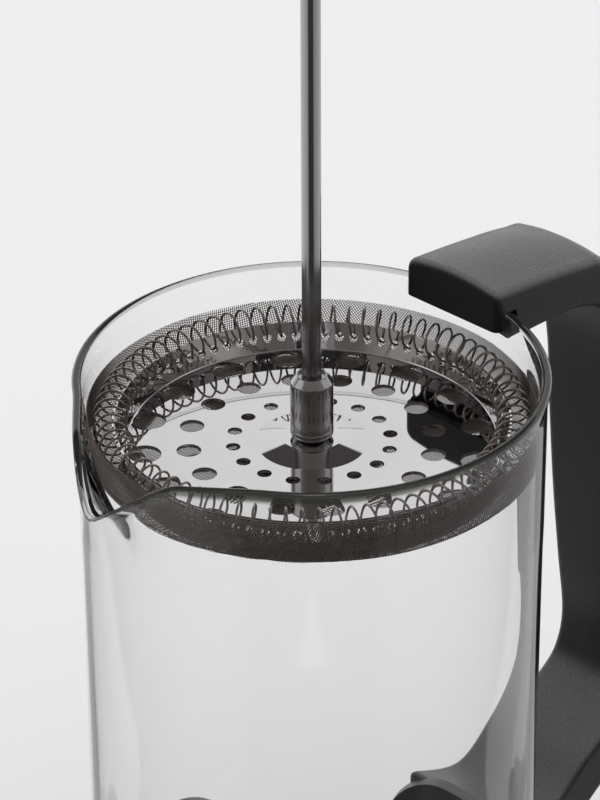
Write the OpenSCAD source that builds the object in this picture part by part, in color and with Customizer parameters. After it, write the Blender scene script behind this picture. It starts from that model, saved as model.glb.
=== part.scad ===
// French press: glass beaker in a moulded holder with a handle, a domed lid,
// and a plunger whose filter is a perforated dish, a coil spring laced round its edge,
// a woven screen and a spoked plate below.
// +Z is up, +X points at the handle, and the origin is on the beaker's axis at the foot.

/* [Beaker] */
// Outside diameter of the glass
beaker_d = 96; // [80:1:120]
// Height of the glass
beaker_h = 179; // [145:1:220]
// Thickness of the glass wall
beaker_wall = 1.7; // [1.2:0.1:2.4]
// Thickness of the glass floor
beaker_floor = 3; // [2:0.1:5]
// Outside radius between the glass floor and wall
beaker_heel_r = 9; // [6:0.5:14]
// Thickness of the fire-polished bead along the rim
bead_t = 1.9; // [1.8:0.1:3]
// How far the rim flares out beyond the wall
rim_flare = 0.85; // [0.3:0.05:1.5]
// Height of the pulled band that holds the flare and the pouring lip
band_h = 36; // [24:1:50]
// Reach of the pouring lip beyond the rim
lip_reach = 11.3; // [8:0.1:16]
// Drop of the lip's tip below the rim
lip_drop = 9.8; // [4:0.1:14]
// Half of the rim angle that the lip takes up
lip_half_angle = 36; // [30:1:50]
// How far the lip is turned from straight opposite the handle
lip_turn = -2; // [-20:1:20]

/* [Holder] */
// Height of the ledge that the glass stands on
ledge_z = 3.8; // [3:0.1:8]
// Height of the wall round the foot, below the petals
foot_wall_h = 16; // [12:1:24]
// Thickness of the holder's walls
holder_wall = 3.1; // [2:0.1:4]
// Width of the ledge under the glass
ledge_w = 13.4; // [8:0.2:24]
// Height of the three plain petals above the foot
petal_h = 48; // [34:1:70]
// How much higher the handle's petal stands
handle_petal_rise = 5; // [0:1:10]
// Width of a petal
petal_w = 42; // [30:1:48]
// Corner radius at the top of a petal
petal_r = 16; // [8:1:18]

/* [Handle] */
// Width of the handle
handle_w = 26.3; // [20:0.1:32]
// Width of the strut where it joins its petal
strut_w = 34; // [26:0.5:40]
// Thickness of the hook's leg inside the glass
hook_leg = 4.4; // [3:0.1:5]
// Thickness of the hook and arm above the rim
hook_rise = 7.1; // [5:0.1:12]
// Gap between the glass and the grip's inner face near the top
finger_gap = 39; // [30:1:50]
// Depth of the grip from its inner face to its crown
grip_t = 20; // [15:0.5:26]

/* [Lid] */
// How far the lid's edge stands out past the rim
lid_overhang = 1.65; // [1:0.05:5]
// Height of the dome above its edge
dome_h = 18; // [14:0.5:24]
// Wall of the dome
lid_wall = 2.2; // [1.8:0.1:3]
// Depth of the lid's skirt inside the glass
skirt_h = 12; // [8:0.5:20]
// Height that the lid is held above its seat
lid_raised = 150; // [145:1:170]

/* [Knob] */
// Diameter of the knob
knob_d = 34; // [26:1:40]
// Diameter of the knob's neck
knob_neck_d = 15; // [12:0.5:20]

/* [Plunger] */
// Diameter of the rod
rod_d = 4; // [3.3:0.1:5]
// Diameter of the hub sleeve on the dish
hub_d = 8.9; // [8:0.1:12]
// Height of the hub sleeve above the dish
hub_h = 15.6; // [10:0.2:20]
// Depth of the dish's flat floor below the rim
dish_depth = 16.4; // [16:0.1:20]
// Diameter of the boss under the spoked plate
boss_d = 12; // [10:0.5:16]
// Height of that boss
boss_h = 6; // [4:0.5:6]

/* [Filter] */
// Slope of the dish's turned-up wall
wall_slope = 70; // [60:1:80]
// Height of the dish's edge above its floor
dish_rise = 5.8; // [5:0.1:6.5]
// Thickness of the sheet steel
sheet_t = 0.8; // [0.6:0.1:1]
// Holes in each of the three rings
ring_holes = 16; // [12:1:18]
// Distance from one ring of holes to the next
ring_pitch = 9.15; // [8.5:0.05:9.5]
// Diameter of the coils of the spring
coil_d = 7.3; // [6:0.1:9]
// Thickness of the spring's wire
spring_wire_d = 0.46; // [0.4:0.02:0.6]
// Number of coils, one for each lacing hole
coils = 80; // [60:1:90]
// Diameter of a lacing hole
lacing_hole_d = 1.9; // [1.6:0.05:2.2]
// Height of the screen's turned-up skirt
screen_h = 9.2; // [7:0.1:10]
// Thickness of the woven screen
screen_t = 0.35; // [0.3:0.05:0.5]
// Number of spokes in the plate below
spokes = 6; // [4:1:8]

/* [Fits] */
// Gap under the glass and over the rim
seat_gap = 0.2; // [0.1:0.05:0.3]
// Gap between the glass and the holder's petals
glass_gap = 0.4; // [0.3:0.05:0.6]
// Gap between the screen's skirt and the glass
screen_gap = 0.3; // [0.3:0.05:0.6]
// Gap between the spring and the screen's skirt
spring_gap = 0.66; // [0.3:0.02:1]
// Gap between the rim and the hook round it
hook_gap = 0.3; // [0.2:0.05:0.6]
// Gap that lets the dish pass the hook
hook_pass_gap = 0.5; // [0.4:0.05:1]
// Radial running gap of a shaft in its bush
run_gap = 0.05; // [0.03:0.01:0.1]
// Gap between parts that are clamped or screwed together
set_gap = 0.05; // [0.03:0.01:0.1]
// Gap between the lid's pieces and what they sit in
lid_gap = 0.3; // [0.2:0.05:0.5]

/* [Hidden] */

$fn = 96;

glass_r = beaker_d / 2;
glass_in_r = glass_r - beaker_wall;
glass_z = ledge_z + seat_gap;
rim_z = glass_z + beaker_h;
rim_r = glass_r + rim_flare;
bore_r = glass_r + glass_gap;
holder_r = bore_r + holder_wall;

slot_in_r = glass_in_r - hook_gap;
slot_out_r = rim_r + hook_gap;
slot_roof = 0.8;
hook_x = slot_in_r - hook_leg;
petal_top = petal_h + handle_petal_rise;

rod_r = rod_d / 2;
dish_z = rim_z - dish_depth;
dish_r = hook_x - hook_pass_gap;
dish_top_r = dish_r - sheet_t * sin(wall_slope);
dish_flat_r = dish_top_r - dish_rise / tan(wall_slope);
crown_r = 12.5;
crown_flat_r = 6.3;
crown_h = 0.8;
screen_r = glass_in_r - screen_gap;
screen_z = dish_z - sheet_t - set_gap - screen_t;
spoked_z = screen_z - set_gap - sheet_t;
spoked_r = dish_r - 1;
boss_z = spoked_z + crown_h - set_gap - boss_h;

// The coil lies just inside the screen's skirt, with its centre a little below the dish's
// edge. Each lacing hole is where the coil's wire crosses the middle of the dish's wall.
coil_sink = 0.13;
coil_r = (coil_d - spring_wire_d) / 2;
coil_c_r = screen_r - screen_t - spring_gap - coil_d / 2;
coil_c_z = dish_z + dish_rise - coil_sink;
wall_dir = [cos(wall_slope), sin(wall_slope)];
wall_mid = [dish_top_r + sheet_t / 2 * wall_dir[1], dish_z + dish_rise - sheet_t / 2 * wall_dir[0]];
coil_off = [coil_c_r, coil_c_z] - wall_mid;
wall_reach = sqrt(pow(coil_r, 2) - pow(cross(wall_dir, coil_off), 2)) - coil_off * wall_dir;
lacing = wall_mid - wall_reach * wall_dir;
lacing_turn = atan2(lacing[1] - coil_c_z, lacing[0] - coil_c_r);

lid_r = rim_r + lid_overhang;
lid_z = rim_z + seat_gap + lid_raised;
boss_top = dome_h + 6;
bush_r = rod_r + run_gap + 2.4;
bush_flange_t = 1.6;
liner_t = 1.6;
bush_tail = 3.6;
knob_z = lid_z + boss_top + set_gap + bush_flange_t + seat_gap;
knob_h = knob_d * 0.94;
insert_r = rod_r + set_gap + 1.6;
insert_h = knob_h * 0.55;
rod_top = knob_z + insert_h - 1.6;

// ---- shared shapes ----

function lerp(a, b, t) = a + (b - a) * t;

function smooth(t) = let(s = min(1, max(0, t))) s * s * (3 - 2 * s);

function arc(cx, cy, r, a0, a1, n) =
    [for (i = [0:n]) let(a = lerp(a0, a1, i / n)) [cx + r * cos(a), cy + r * sin(a)]];

function ellipse(cx, cy, rx, ry, a0, a1, n) =
    [for (i = [0:n]) let(a = lerp(a0, a1, i / n)) [cx + rx * cos(a), cy + ry * sin(a)]];

function spline(a, b, c, d, t) =
    0.5 * (2 * b + (c - a) * t + (2 * a - 5 * b + 4 * c - d) * t * t
        + (3 * b - a - 3 * c + d) * t * t * t);

// Points of a smooth curve through each row of a list, with a few steps per gap
function through(rows, steps) =
    let(last = len(rows) - 1)
    [for (i = [0:last - 1], s = [0:(i == last - 1 ? steps : steps - 1)])
        spline(rows[max(0, i - 1)], rows[i], rows[i + 1], rows[min(last, i + 2)], s / steps)];

// Skin over equal rings of points: closed round on itself, or capped at both ends
module skin(rings, closed = false) {
    n = len(rings[0]);
    count = len(rings);
    points = [for (ring = rings, p = ring) p];
    sides = [for (j = [0:count - (closed ? 1 : 2)], i = [0:n - 1])
        let(
            k = (j + 1) % count,
            m = (i + 1) % n,
            a = j * n + i,
            c = k * n + m
        )
        each [[a, j * n + m, c], [a, c, k * n + i]]];
    caps = closed ? [] : [[for (i = [n - 1:-1:0]) i], [for (i = [0:n - 1]) (count - 1) * n + i]];
    polyhedron(points, concat(sides, caps), convexity = 10);
}

module ring(r0, r1, z0, z1) {
    translate([0, 0, z0])
        difference() {
            cylinder(r = r1, h = z1 - z0);
            translate([0, 0, -1])
                cylinder(r = r0, h = z1 - z0 + 2);
        }
}

// ---- beaker ----

lip_tip = 0.087;
band_rows = 7;
bead_steps = 5;
plain_columns = 52;
lip_columns = 28;
flare_h = 6;
band_lap = 1;

// 1 at the lip's middle, slightly rounded there, down to 0 at a half angle to either side
function lip_share(a, half) =
    let(u = min(1, abs(a - 180) / half))
    1 - (sqrt(u * u + lip_tip * lip_tip) - lip_tip) / (sqrt(1 + lip_tip * lip_tip) - lip_tip);

// How far the lip is pulled out at azimuth a and height share h, and how far it drops
function lip_pull(a, h) = lip_reach * pow(lip_share(a, lip_half_angle), 1.75) * pow(h, 2.4);

function lip_fall(a, h) = lip_drop * pow(lip_share(a, 0.45 * lip_half_angle), 1.35) * pow(h, 3);

// The band's facets stay just outside the round wall below, and just inside its bore.
facet_out = (glass_r + 0.03) / cos((360 - 2 * lip_half_angle) / plain_columns / 2) - glass_r;

function band_out(h) = glass_r + lerp(facet_out, rim_flare, smooth(1 - (1 - h) * band_h / flare_h));

function band_in(h) =
    let(s = smooth(1 - (1 - h) * band_h / flare_h))
    glass_r + rim_flare * s - lerp(beaker_wall + 0.03, bead_t, s);

// Wall section of the band as [radius, height above the band's foot, height share]
function band_section() =
    let(
        r = bead_t / 2,
        top = 1 - r / band_h,
        shares = [for (i = [0:band_rows]) top * (1 - pow(1 - i / band_rows, 1.6))],
        c = band_out(1) - r
    )
    concat(
        [for (h = shares) [band_out(h), h * band_h, h]],
        [for (i = [1:bead_steps - 1])
            let(a = 180 * i / bead_steps)
            [c + r * cos(a), band_h - r + r * sin(a), 1]],
        [for (i = [band_rows:-1:0]) [band_in(shares[i]), shares[i] * band_h, shares[i]]]
    );

function band_ring(a) =
    [for (p = band_section())
        let(r = p[0] + lip_pull(a, p[2]))
        [r * cos(a), r * sin(a), rim_z - band_h + p[1] - lip_fall(a, p[2])]];

module beaker() {
    lip_from = 180 - lip_half_angle;
    plain_span = 360 - 2 * lip_half_angle;
    azimuths = concat(
        [for (i = [0:lip_columns - 1]) lip_from + 2 * lip_half_angle * i / lip_columns],
        [for (i = [0:plain_columns - 1]) 180 + lip_half_angle + plain_span * i / plain_columns]
    );
    in_r = beaker_heel_r - beaker_wall;
    wall_top = rim_z - band_h + band_lap;
    color("lightblue", 0.35) {
        rotate(lip_turn)
            skin([for (a = azimuths) band_ring(a)], closed = true);
        rotate_extrude()
            polygon(concat(
                [[0, glass_z]],
                arc(glass_r - beaker_heel_r, glass_z + beaker_heel_r, beaker_heel_r, -90, 0, 10),
                [[glass_r, wall_top], [glass_in_r, wall_top]],
                arc(glass_in_r - in_r, glass_z + beaker_floor + in_r, in_r, 0, -90, 8),
                [[0, glass_z + beaker_floor]]
            ));
    }
}

// ---- holder ----

petal_foot_fillet = 7;

module petal_outline(h) {
    flat = petal_w - 2 * petal_r;
    translate([-flat / 2, 0])
        square([flat, h]);
    translate([-petal_w / 2, 0])
        square([petal_w, h - petal_r]);
    for (s = [-1, 1]) {
        translate([s * flat / 2, h - petal_r])
            circle(petal_r);
        translate([s * petal_w / 2, foot_wall_h - 1])
            mirror([s < 0 ? 1 : 0, 0])
                difference() {
                    translate([-1, 0])
                        square([petal_foot_fillet + 1, petal_foot_fillet + 1]);
                    translate([petal_foot_fillet, petal_foot_fillet + 1])
                        circle(petal_foot_fillet);
                }
    }
}

module petal(h) {
    intersection() {
        ring(bore_r, holder_r, 1, h + 1);
        rotate([90, 0, 90])
            linear_extrude(holder_r + 2)
                petal_outline(h);
    }
}

module holder_foot() {
    rotate_extrude()
        polygon([
            [bore_r - ledge_w, ledge_z - 1.8], [holder_r - 6.5, ledge_z - 1.8], [holder_r - 7, 0],
            [holder_r - 1.2, 0], [holder_r, 1.2], [holder_r, foot_wall_h - 0.8],
            [holder_r - 0.8, foot_wall_h], [bore_r + 0.8, foot_wall_h], [bore_r, foot_wall_h - 0.8],
            [bore_r, ledge_z], [bore_r - ledge_w, ledge_z]
        ]);
}

// A D-shaped section between an inner and an outer point: flat inside, crowned outside
function handle_ring(row) =
    let(
        inner = [row[0], row[1]],
        span = [row[2], row[3]] - inner,
        t = norm(span),
        dir = span / t,
        half = row[4] / 2,
        crown = row[5],
        r_in = 2,
        r_out = 3,
        flat = half - r_out,
        edge = t - crown - r_out,
        side = concat(
            arc(r_in, half - r_in, r_in, 180, 90, 2),
            arc(edge, half - r_out, r_out, 90, 0, 3)
        ),
        top = [for (i = [1:3]) let(v = flat * (1 - i / 3)) [t - crown * pow(v / flat, 2), v]],
        one = concat(side, top),
        back = [for (i = [len(one) - 2:-1:0]) [one[i][0], -one[i][1]]]
    )
    [for (p = concat(one, back)) [inner[0] + dir[0] * p[0], -p[1], inner[1] + dir[1] * p[0]]];

// Height of a share of the grip, from the strut's corner at 0 to the arm at 1
function grip_z(share) = lerp(petal_top + 9, rim_z - 29, share);

// Rows of inner x and z, outer x and z, width, and crown. The arm is placed from the rim,
// the strut from its petal, and the grip between them.
function handle_rows() =
    let(g = glass_r + finger_gap, t = g + grip_t, w = handle_w, z = rim_z, foot = petal_top)
    [
        [hook_x, z - 6.9, hook_x, z + hook_rise, w, 0.9],
        [glass_r + 8, z - 6.8, glass_r + 8.5, z + hook_rise - 1, w, 1.3],
        [g - 19, z - 7.5, g - 16, z + hook_rise - 2.7, w, 1.5],
        [g - 10, z - 11, g - 8.6, z + hook_rise - 6, w, 1],
        [g - 3, z - 19.5, g + 4.2, z + hook_rise - 20.6, w, 3.2],
        [g, grip_z(0.98), t - 1.5, grip_z(1.02), w, 4.5],
        [g + 1.6, grip_z(0.77), t + 2, grip_z(0.77), w, 5.5],
        [g + 3.7, grip_z(0.54), t + 4.2, grip_z(0.52), w, 6],
        [g + 6.4, grip_z(0.32), t + 6.8, grip_z(0.27), w, 6],
        [g + 8.6, grip_z(0.15), t + 7.5, grip_z(0.06), w, 6],
        [g + 7, foot + 14, g + 21, foot, w, 6],
        [g + 2, foot + 9, g + 11, foot - 8, w, 6],
        [g - 10, foot + 2.5, g - 3, foot - 16, w, 6],
        [g - 23, foot - 4.5, g - 16, foot - 24, w + 2, 6],
        [bore_r - 3, foot - 1, bore_r - 3, foot - 35, strut_w, 5]
    ];

module hook_cuts() {
    ring(slot_in_r, slot_out_r, rim_z - 12, rim_z + slot_roof);
    translate([0, handle_w, rim_z])
        rotate([90, 0, 0])
            linear_extrude(2 * handle_w)
                polygon([
                    [hook_x - 4, -3], [hook_x + 2, -3], [slot_in_r, -5.7],
                    [slot_in_r + 1, -12], [hook_x - 4, -12]
                ]);
}

module holder() {
    color("#2b2a2c")
        difference() {
            union() {
                holder_foot();
                petal(petal_top);
                for (a = [90, 180, 270])
                    rotate(a)
                        petal(petal_h);
                difference() {
                    skin([for (row = through(handle_rows(), 3)) handle_ring(row)]);
                    translate([0, 0, ledge_z])
                        cylinder(r = bore_r + holder_wall / 3, h = rim_z - ledge_z - 30);
                }
            }
            hook_cuts();
        }
}

// ---- lid ----

hook_pocket_x = hook_x - 0.9;
hook_pocket_w = handle_w + 2;
hook_pocket_top = hook_rise + 1;
skirt_out_r = glass_in_r - 0.9;
skirt_in_r = skirt_out_r - lid_wall + 0.2;
liner_r = skirt_in_r - lid_gap;
lid_boss_r = bush_r + set_gap + 4.5;

module hook_pocket(grow) {
    translate([hook_pocket_x - grow, -hook_pocket_w / 2 - grow, -skirt_h - 5])
        cube([20, hook_pocket_w + 2 * grow, skirt_h + 5 + hook_pocket_top + grow]);
}

module dome_solid() {
    rotate_extrude()
        polygon(concat(
            [[0, 0], [lid_r - 0.6, 0], [lid_r, 0.6]],
            ellipse(lid_boss_r + 2, 2, lid_r - lid_boss_r - 2, dome_h, 0, 90, 16),
            [[0, dome_h + 2]]
        ));
}

module dome_hollow() {
    rotate_extrude()
        polygon(concat(
            [[0, -1], [skirt_in_r, -1]],
            ellipse(lid_boss_r, 0, skirt_in_r - lid_boss_r, dome_h - lid_wall + 1.5, 0, 90, 14),
            [[0, dome_h - lid_wall + 1.5]]
        ));
}

module lid_dome() {
    color("#2b2a2c")
        translate([0, 0, lid_z])
            difference() {
                union() {
                    difference() {
                        dome_solid();
                        dome_hollow();
                    }
                    intersection() {
                        dome_solid();
                        hook_pocket(lid_wall);
                    }
                    ring(skirt_in_r, skirt_out_r, -skirt_h, 0.5);
                    cylinder(r = lid_boss_r, h = boss_top - 1);
                    translate([0, 0, boss_top - 1])
                        cylinder(r1 = lid_boss_r, r2 = lid_boss_r - 1, h = 1);
                }
                hook_pocket(0);
                translate([0, 0, -1])
                    cylinder(r = bush_r + run_gap, h = boss_top + 2);
            }
}

slot_count = 12;

module lid_liner() {
    color("#3a393b")
        translate([0, 0, lid_z])
            difference() {
                union() {
                    ring(bush_r + run_gap, liner_r, -liner_t - 0.2, -0.2);
                    ring(liner_r - 1.5, liner_r, -skirt_h - 2, -0.2);
                }
                for (i = [0:slot_count - 1])
                    rotate(180 + (i - (slot_count - 1) / 2) * 9)
                        translate([liner_r - 4, -1.2, -skirt_h])
                            cube([8, 2.4, skirt_h - liner_t - 2]);
                hook_pocket(0.6);
            }
}

module guide_bush() {
    color("silver")
        translate([0, 0, lid_z])
            difference() {
                union() {
                    translate([0, 0, -bush_tail])
                        cylinder(r = bush_r, h = boss_top + bush_tail + set_gap);
                    translate([0, 0, boss_top + set_gap])
                        cylinder(r = lid_boss_r - 1.5, h = bush_flange_t);
                }
                translate([0, 0, -bush_tail - 1])
                    cylinder(r = rod_r + run_gap, h = boss_top + bush_tail + 6);
                ring(bush_r - 0.7, bush_r + 1, -bush_tail + 0.5, -bush_tail + 1.5);
            }
}

module bush_clip() {
    clip_r = bush_r + 1.6;
    color("dimgray")
        translate([0, 0, lid_z - bush_tail + 0.6])
            difference() {
                cylinder(r = clip_r, h = 0.8);
                translate([0, 0, -1])
                    cylinder(r = bush_r - 0.6, h = 3);
                translate([0, -1.2, -1])
                    cube([clip_r + 1, 2.4, 3]);
            }
}

// ---- knob and rod ----

module knob() {
    r = knob_d / 2;
    color("#2b2a2c")
        translate([0, 0, knob_z])
            difference() {
                rotate_extrude()
                    polygon(concat(
                        [[0, 0], [knob_neck_d / 2 - 0.5, 0], [knob_neck_d / 2, 0.5], [knob_neck_d / 2, 2]],
                        ellipse(0, knob_h - r * 0.94, r, r * 0.94, -62, 90, 26)
                    ));
                translate([0, 0, -1])
                    cylinder(r = insert_r + set_gap, h = insert_h + 1.2);
            }
}

module knob_insert() {
    color("goldenrod")
        translate([0, 0, knob_z + 0.1])
            difference() {
                cylinder(r = insert_r, h = insert_h);
                translate([0, 0, -1])
                    cylinder(r = rod_r + set_gap, h = insert_h - 0.2);
            }
}

module rod() {
    chamfer = 0.4;
    low = boss_z + 1;
    color("silver")
        translate([0, 0, low])
            rotate_extrude()
                polygon([
                    [0, 0], [rod_r - chamfer, 0], [rod_r, chamfer], [rod_r, rod_top - low - chamfer],
                    [rod_r - chamfer, rod_top - low], [0, rod_top - low]
                ]);
}

collar_h = 2.6;
sleeve_z = dish_z + crown_h + collar_h + set_gap;

module hub_sleeve() {
    r = hub_d / 2;
    h = hub_h - crown_h - collar_h;
    bore = rod_r + set_gap;
    wall = r - bore;
    color("silver")
        translate([0, 0, sleeve_z])
            rotate_extrude()
                polygon([
                    [bore, 0], [r - 0.3, 0], [r, 0.3], [r, h - 1.6], [r - 0.54 * wall, h],
                    [bore + 0.35 * wall, h], [bore + 0.27 * wall, h - 0.7], [bore, h - 0.7]
                ]);
}

module hub_collar() {
    r = hub_d / 2;
    color("silver")
        translate([0, 0, dish_z + crown_h + set_gap])
            rotate_extrude()
                polygon([
                    [rod_r + set_gap, 0], [r - 1.1, 0], [r, 1], [r, collar_h - set_gap - 0.4],
                    [r - 0.4, collar_h - set_gap], [rod_r + set_gap, collar_h - set_gap]
                ]);
}

// ---- filter stack ----

ring_hole_d = [3, 5.1, 7];
ring_phase = 8.5;
outer_ring_r = dish_flat_r - ring_hole_d[2] / 2 - 0.1;

// A pressed sheet with a raised crown, a flat floor and a steep turned-up wall
module filter_dish() {
    bore = rod_r + 2 * set_gap;
    bend_r = dish_flat_r + sheet_t * tan(wall_slope / 2);
    color("silver")
        difference() {
            translate([0, 0, dish_z])
                rotate_extrude()
                    polygon([
                        [bore, crown_h], [crown_flat_r, crown_h], [crown_r, 0], [dish_flat_r, 0],
                        [dish_top_r, dish_rise], [dish_r, dish_rise - sheet_t * wall_dir[0]],
                        [bend_r, -sheet_t], [crown_r, -sheet_t], [crown_flat_r, crown_h - sheet_t],
                        [bore, crown_h - sheet_t]
                    ]);
            for (k = [0:2], i = [0:ring_holes - 1])
                rotate(ring_phase + i * 360 / ring_holes)
                    translate([outer_ring_r - (2 - k) * ring_pitch, 0, dish_z - 3])
                        cylinder(d = ring_hole_d[k], h = 12, $fn = 24);
            for (i = [0:coils - 1])
                rotate(i * 360 / coils)
                    translate([lacing[0], 0, lacing[1]])
                        rotate([0, -wall_slope, 0])
                            translate([0, 0, -2])
                                cylinder(d = lacing_hole_d, h = 4, $fn = 16);
        }
}

spring_steps = 8;
spring_sides = 4;

// Point of the wire's centre line after t coils, and its ring of surface points
function wire_centre(t) =
    let(
        around = t * 360 / coils,
        turn = lacing_turn - 360 * t,
        r = coil_c_r + coil_r * cos(turn)
    )
    [r * cos(around), r * sin(around), coil_c_z + coil_r * sin(turn)];

function wire_ring(t) =
    let(
        around = t * 360 / coils,
        turn = lacing_turn - 360 * t,
        out = [cos(turn) * cos(around), cos(turn) * sin(around), sin(turn)],
        side = [-sin(around), cos(around), 0],
        c = wire_centre(t)
    )
    [for (i = [0:spring_sides - 1])
        let(a = 45 + 360 * i / spring_sides)
        c + spring_wire_d / 2 * (out * cos(a) + side * sin(a))];

module coil_spring() {
    color("dimgray")
        skin([for (j = [0:coils * spring_steps - 1]) wire_ring((j + 0.5) / spring_steps)], closed = true);
}

module screen() {
    heel = 1.6;
    c_r = screen_r - heel;
    color("gray")
        translate([0, 0, screen_z])
            rotate_extrude()
                polygon(concat(
                    [[crown_r + 0.5, 0]],
                    arc(c_r, heel, heel, -90, 0, 5),
                    [[screen_r, screen_h], [screen_r - screen_t, screen_h]],
                    arc(c_r, heel, heel - screen_t, 0, -90, 5),
                    [[crown_r + 0.5, screen_t]]
                ));
}

function window(r0, r1, half0, half1) =
    concat(arc(0, 0, r1, -half1, half1, 8), arc(0, 0, r0, half0, -half0, 4));

module spoked_plate() {
    spoke_w = 6;
    r0 = crown_r + 3;
    r1 = spoked_r - 5;
    half0 = 180 / spokes - asin(spoke_w / 2 / r0);
    half1 = 180 / spokes - asin(spoke_w / 2 / r1);
    color("silver")
        translate([0, 0, spoked_z])
            difference() {
                rotate_extrude()
                    polygon([
                        [rod_r + set_gap, crown_h], [crown_flat_r, crown_h], [crown_r, 0],
                        [spoked_r - 2, 0], [spoked_r, -1.6], [spoked_r, -0.6], [spoked_r - 1.6, sheet_t],
                        [crown_r, sheet_t], [crown_flat_r, sheet_t + crown_h],
                        [rod_r + set_gap, sheet_t + crown_h]
                    ]);
                for (i = [0:spokes - 1])
                    rotate(i * 360 / spokes)
                        translate([0, 0, -3])
                            linear_extrude(6)
                                polygon(window(r0, r1, half0, half1));
            }
}

module clamp_boss() {
    r = boss_d / 2;
    color("silver")
        translate([0, 0, boss_z])
            difference() {
                rotate_extrude()
                    polygon([
                        [0, 0], [r - 1, 0], [r, 1], [r, boss_h - 0.5], [r - 0.5, boss_h], [0, boss_h]
                    ]);
                translate([0, 0, 0.8])
                    cylinder(r = rod_r + set_gap, h = boss_h);
            }
}

holder();
beaker();
lid_dome();
lid_liner();
guide_bush();
bush_clip();
knob();
knob_insert();
rod();
hub_sleeve();
hub_collar();
filter_dish();
coil_spring();
screen();
spoked_plate();
clamp_boss();
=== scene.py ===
import math

import bmesh
import bpy
from bpy.props import BoolProperty, FloatProperty, FloatVectorProperty, IntProperty, PointerProperty
from bpy.types import Operator, Panel, PropertyGroup
from mathutils import Matrix, Vector


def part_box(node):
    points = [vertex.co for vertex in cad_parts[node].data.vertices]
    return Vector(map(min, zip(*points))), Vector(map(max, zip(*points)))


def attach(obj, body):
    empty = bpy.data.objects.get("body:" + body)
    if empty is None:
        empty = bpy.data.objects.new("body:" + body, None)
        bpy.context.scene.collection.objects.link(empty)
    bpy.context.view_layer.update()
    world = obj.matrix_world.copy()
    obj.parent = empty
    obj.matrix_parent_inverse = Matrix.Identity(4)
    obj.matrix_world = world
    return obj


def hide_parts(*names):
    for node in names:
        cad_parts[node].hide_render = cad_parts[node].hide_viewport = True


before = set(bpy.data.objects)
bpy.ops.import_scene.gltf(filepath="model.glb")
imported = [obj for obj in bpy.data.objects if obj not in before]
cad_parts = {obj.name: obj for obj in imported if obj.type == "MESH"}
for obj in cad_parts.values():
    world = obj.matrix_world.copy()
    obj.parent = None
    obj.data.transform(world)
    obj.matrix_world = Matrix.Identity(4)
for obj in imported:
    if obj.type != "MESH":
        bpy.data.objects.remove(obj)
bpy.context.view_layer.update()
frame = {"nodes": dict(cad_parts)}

bl_info = {
    "name": "French Press",
    "version": (1, 0, 0),
    "blender": (4, 5, 0),
    "location": "View3D > Sidebar > Press",
    "description": "Builds a glass french press on its packed frame: beaker, holder, lid, plunger and filter",
    "category": "Add Mesh",
}

MM = 0.001
# refraction of the glass, a little under borosilicate's 1.47
GLASS_IOR = 1.43
# share of the room's tone in light that has been reflected more than once
TRAPPED_SHARE = 0.8
# the floor's painted dark flanks, a painted reflection seen only in the glass: how far they open to each side per metre
# of depth, and their soft edge in metres
FLANK_SLOPE = 0.36
FLANK_EDGE = (0.036, 0.046)
LENS_SHIFT = (0.00395, 0.00496)
# the bead's painted shade: the side toward the camera where it is deepest, how softly it ends, and how much the thin
# lip loses of it
BEAD_SHADE_SIDE = math.radians(215)
BEAD_FADE = 0.4
LIP_CLEAR = 0.75


# ---- sizes and colours ----


def length(name, about, mm, low=0.01, high=400.0):
    """A size in metres, given here in millimetres."""
    return FloatProperty(
        name=name, description=about, default=mm * MM, min=low * MM, max=high * MM,
        unit="LENGTH", subtype="DISTANCE", precision=5,
    )


def share(name, about, value):
    """A factor from 0 to 1."""
    return FloatProperty(name=name, description=about, default=value, min=0.0, max=1.0, subtype="FACTOR")


def angle(name, about, degrees):
    """An angle, given here in degrees."""
    return FloatProperty(
        name=name, description=about, default=math.radians(degrees), unit="ROTATION", subtype="ANGLE"
    )


def colour(name, about, value):
    """A linear colour."""
    return FloatVectorProperty(
        name=name, description=about, default=value, min=0.0, max=1.0, size=3, subtype="COLOR"
    )


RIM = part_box("beaker")[1].z
GLASS_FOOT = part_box("beaker")[0].z
DISH_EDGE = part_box("filter_dish")[1].z
SCREEN_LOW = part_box("screen")[0].z
ROD_LOW, ROD_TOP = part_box("rod")[0].z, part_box("rod")[1].z


class BeakerSizes(PropertyGroup):
    radius: length("Radius", "Outside radius of the straight glass wall", 48.0)
    wall: length("Wall", "Thickness of the glass wall", 1.7)
    floor: length("Floor", "Thickness of the glass floor", 3.0)
    heel: length("Heel", "Outside radius between floor and wall", 9.0)
    bead: length("Bead", "Thickness of the fire-polished bead on the rim", 1.9)
    flare: length("Flare", "How far the rim stands out beyond the wall", 0.85)
    band: length("Pulled band", "Height of the glass that the lip is pulled from", 36.0)
    lip_reach: length("Lip reach", "How far the pouring lip stands out beyond the rim", 11.15)
    lip_drop: length("Lip drop", "How far the lip's tip lies below the rim", 9.8)
    lip_half: angle("Lip half angle", "Half of the rim angle that the lip takes up", 36.0)
    lip_turn: angle("Lip turn", "How far the lip is turned from straight opposite the handle", -2.0)
    columns: IntProperty(name="Columns", description="Columns round the glass", default=256, min=64, max=512)


class HolderSizes(PropertyGroup):
    bore: length("Bore", "Inside radius of the holder", 48.4)
    wall: length("Wall", "Thickness of the petals and foot", 3.1)
    foot: length("Foot height", "Height of the wall round the foot", 16.0)
    petal: length("Petal height", "Height of the three plain petals", 48.0)
    handle_petal: length("Handle petal height", "Height of the petal that carries the handle", 53.0)
    petal_width: length("Petal width", "Width of a petal", 42.0)
    corner: length("Petal corner", "Corner radius at the top of a petal", 16.0)
    width: length("Handle width", "Width of the handle", 26.3)
    strut: length("Strut width", "Width of the strut where it meets its petal", 34.0)
    hook_x: length("Hook", "Distance from the axis to the hook's end", 41.6)
    hook_rise: length("Hook rise", "Height of the handle above the rim", 7.1)
    grip: length("Grip depth", "Depth of the grip", 20.0)
    finger_gap: length("Finger gap", "Gap between the glass and the grip", 39.0)


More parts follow.
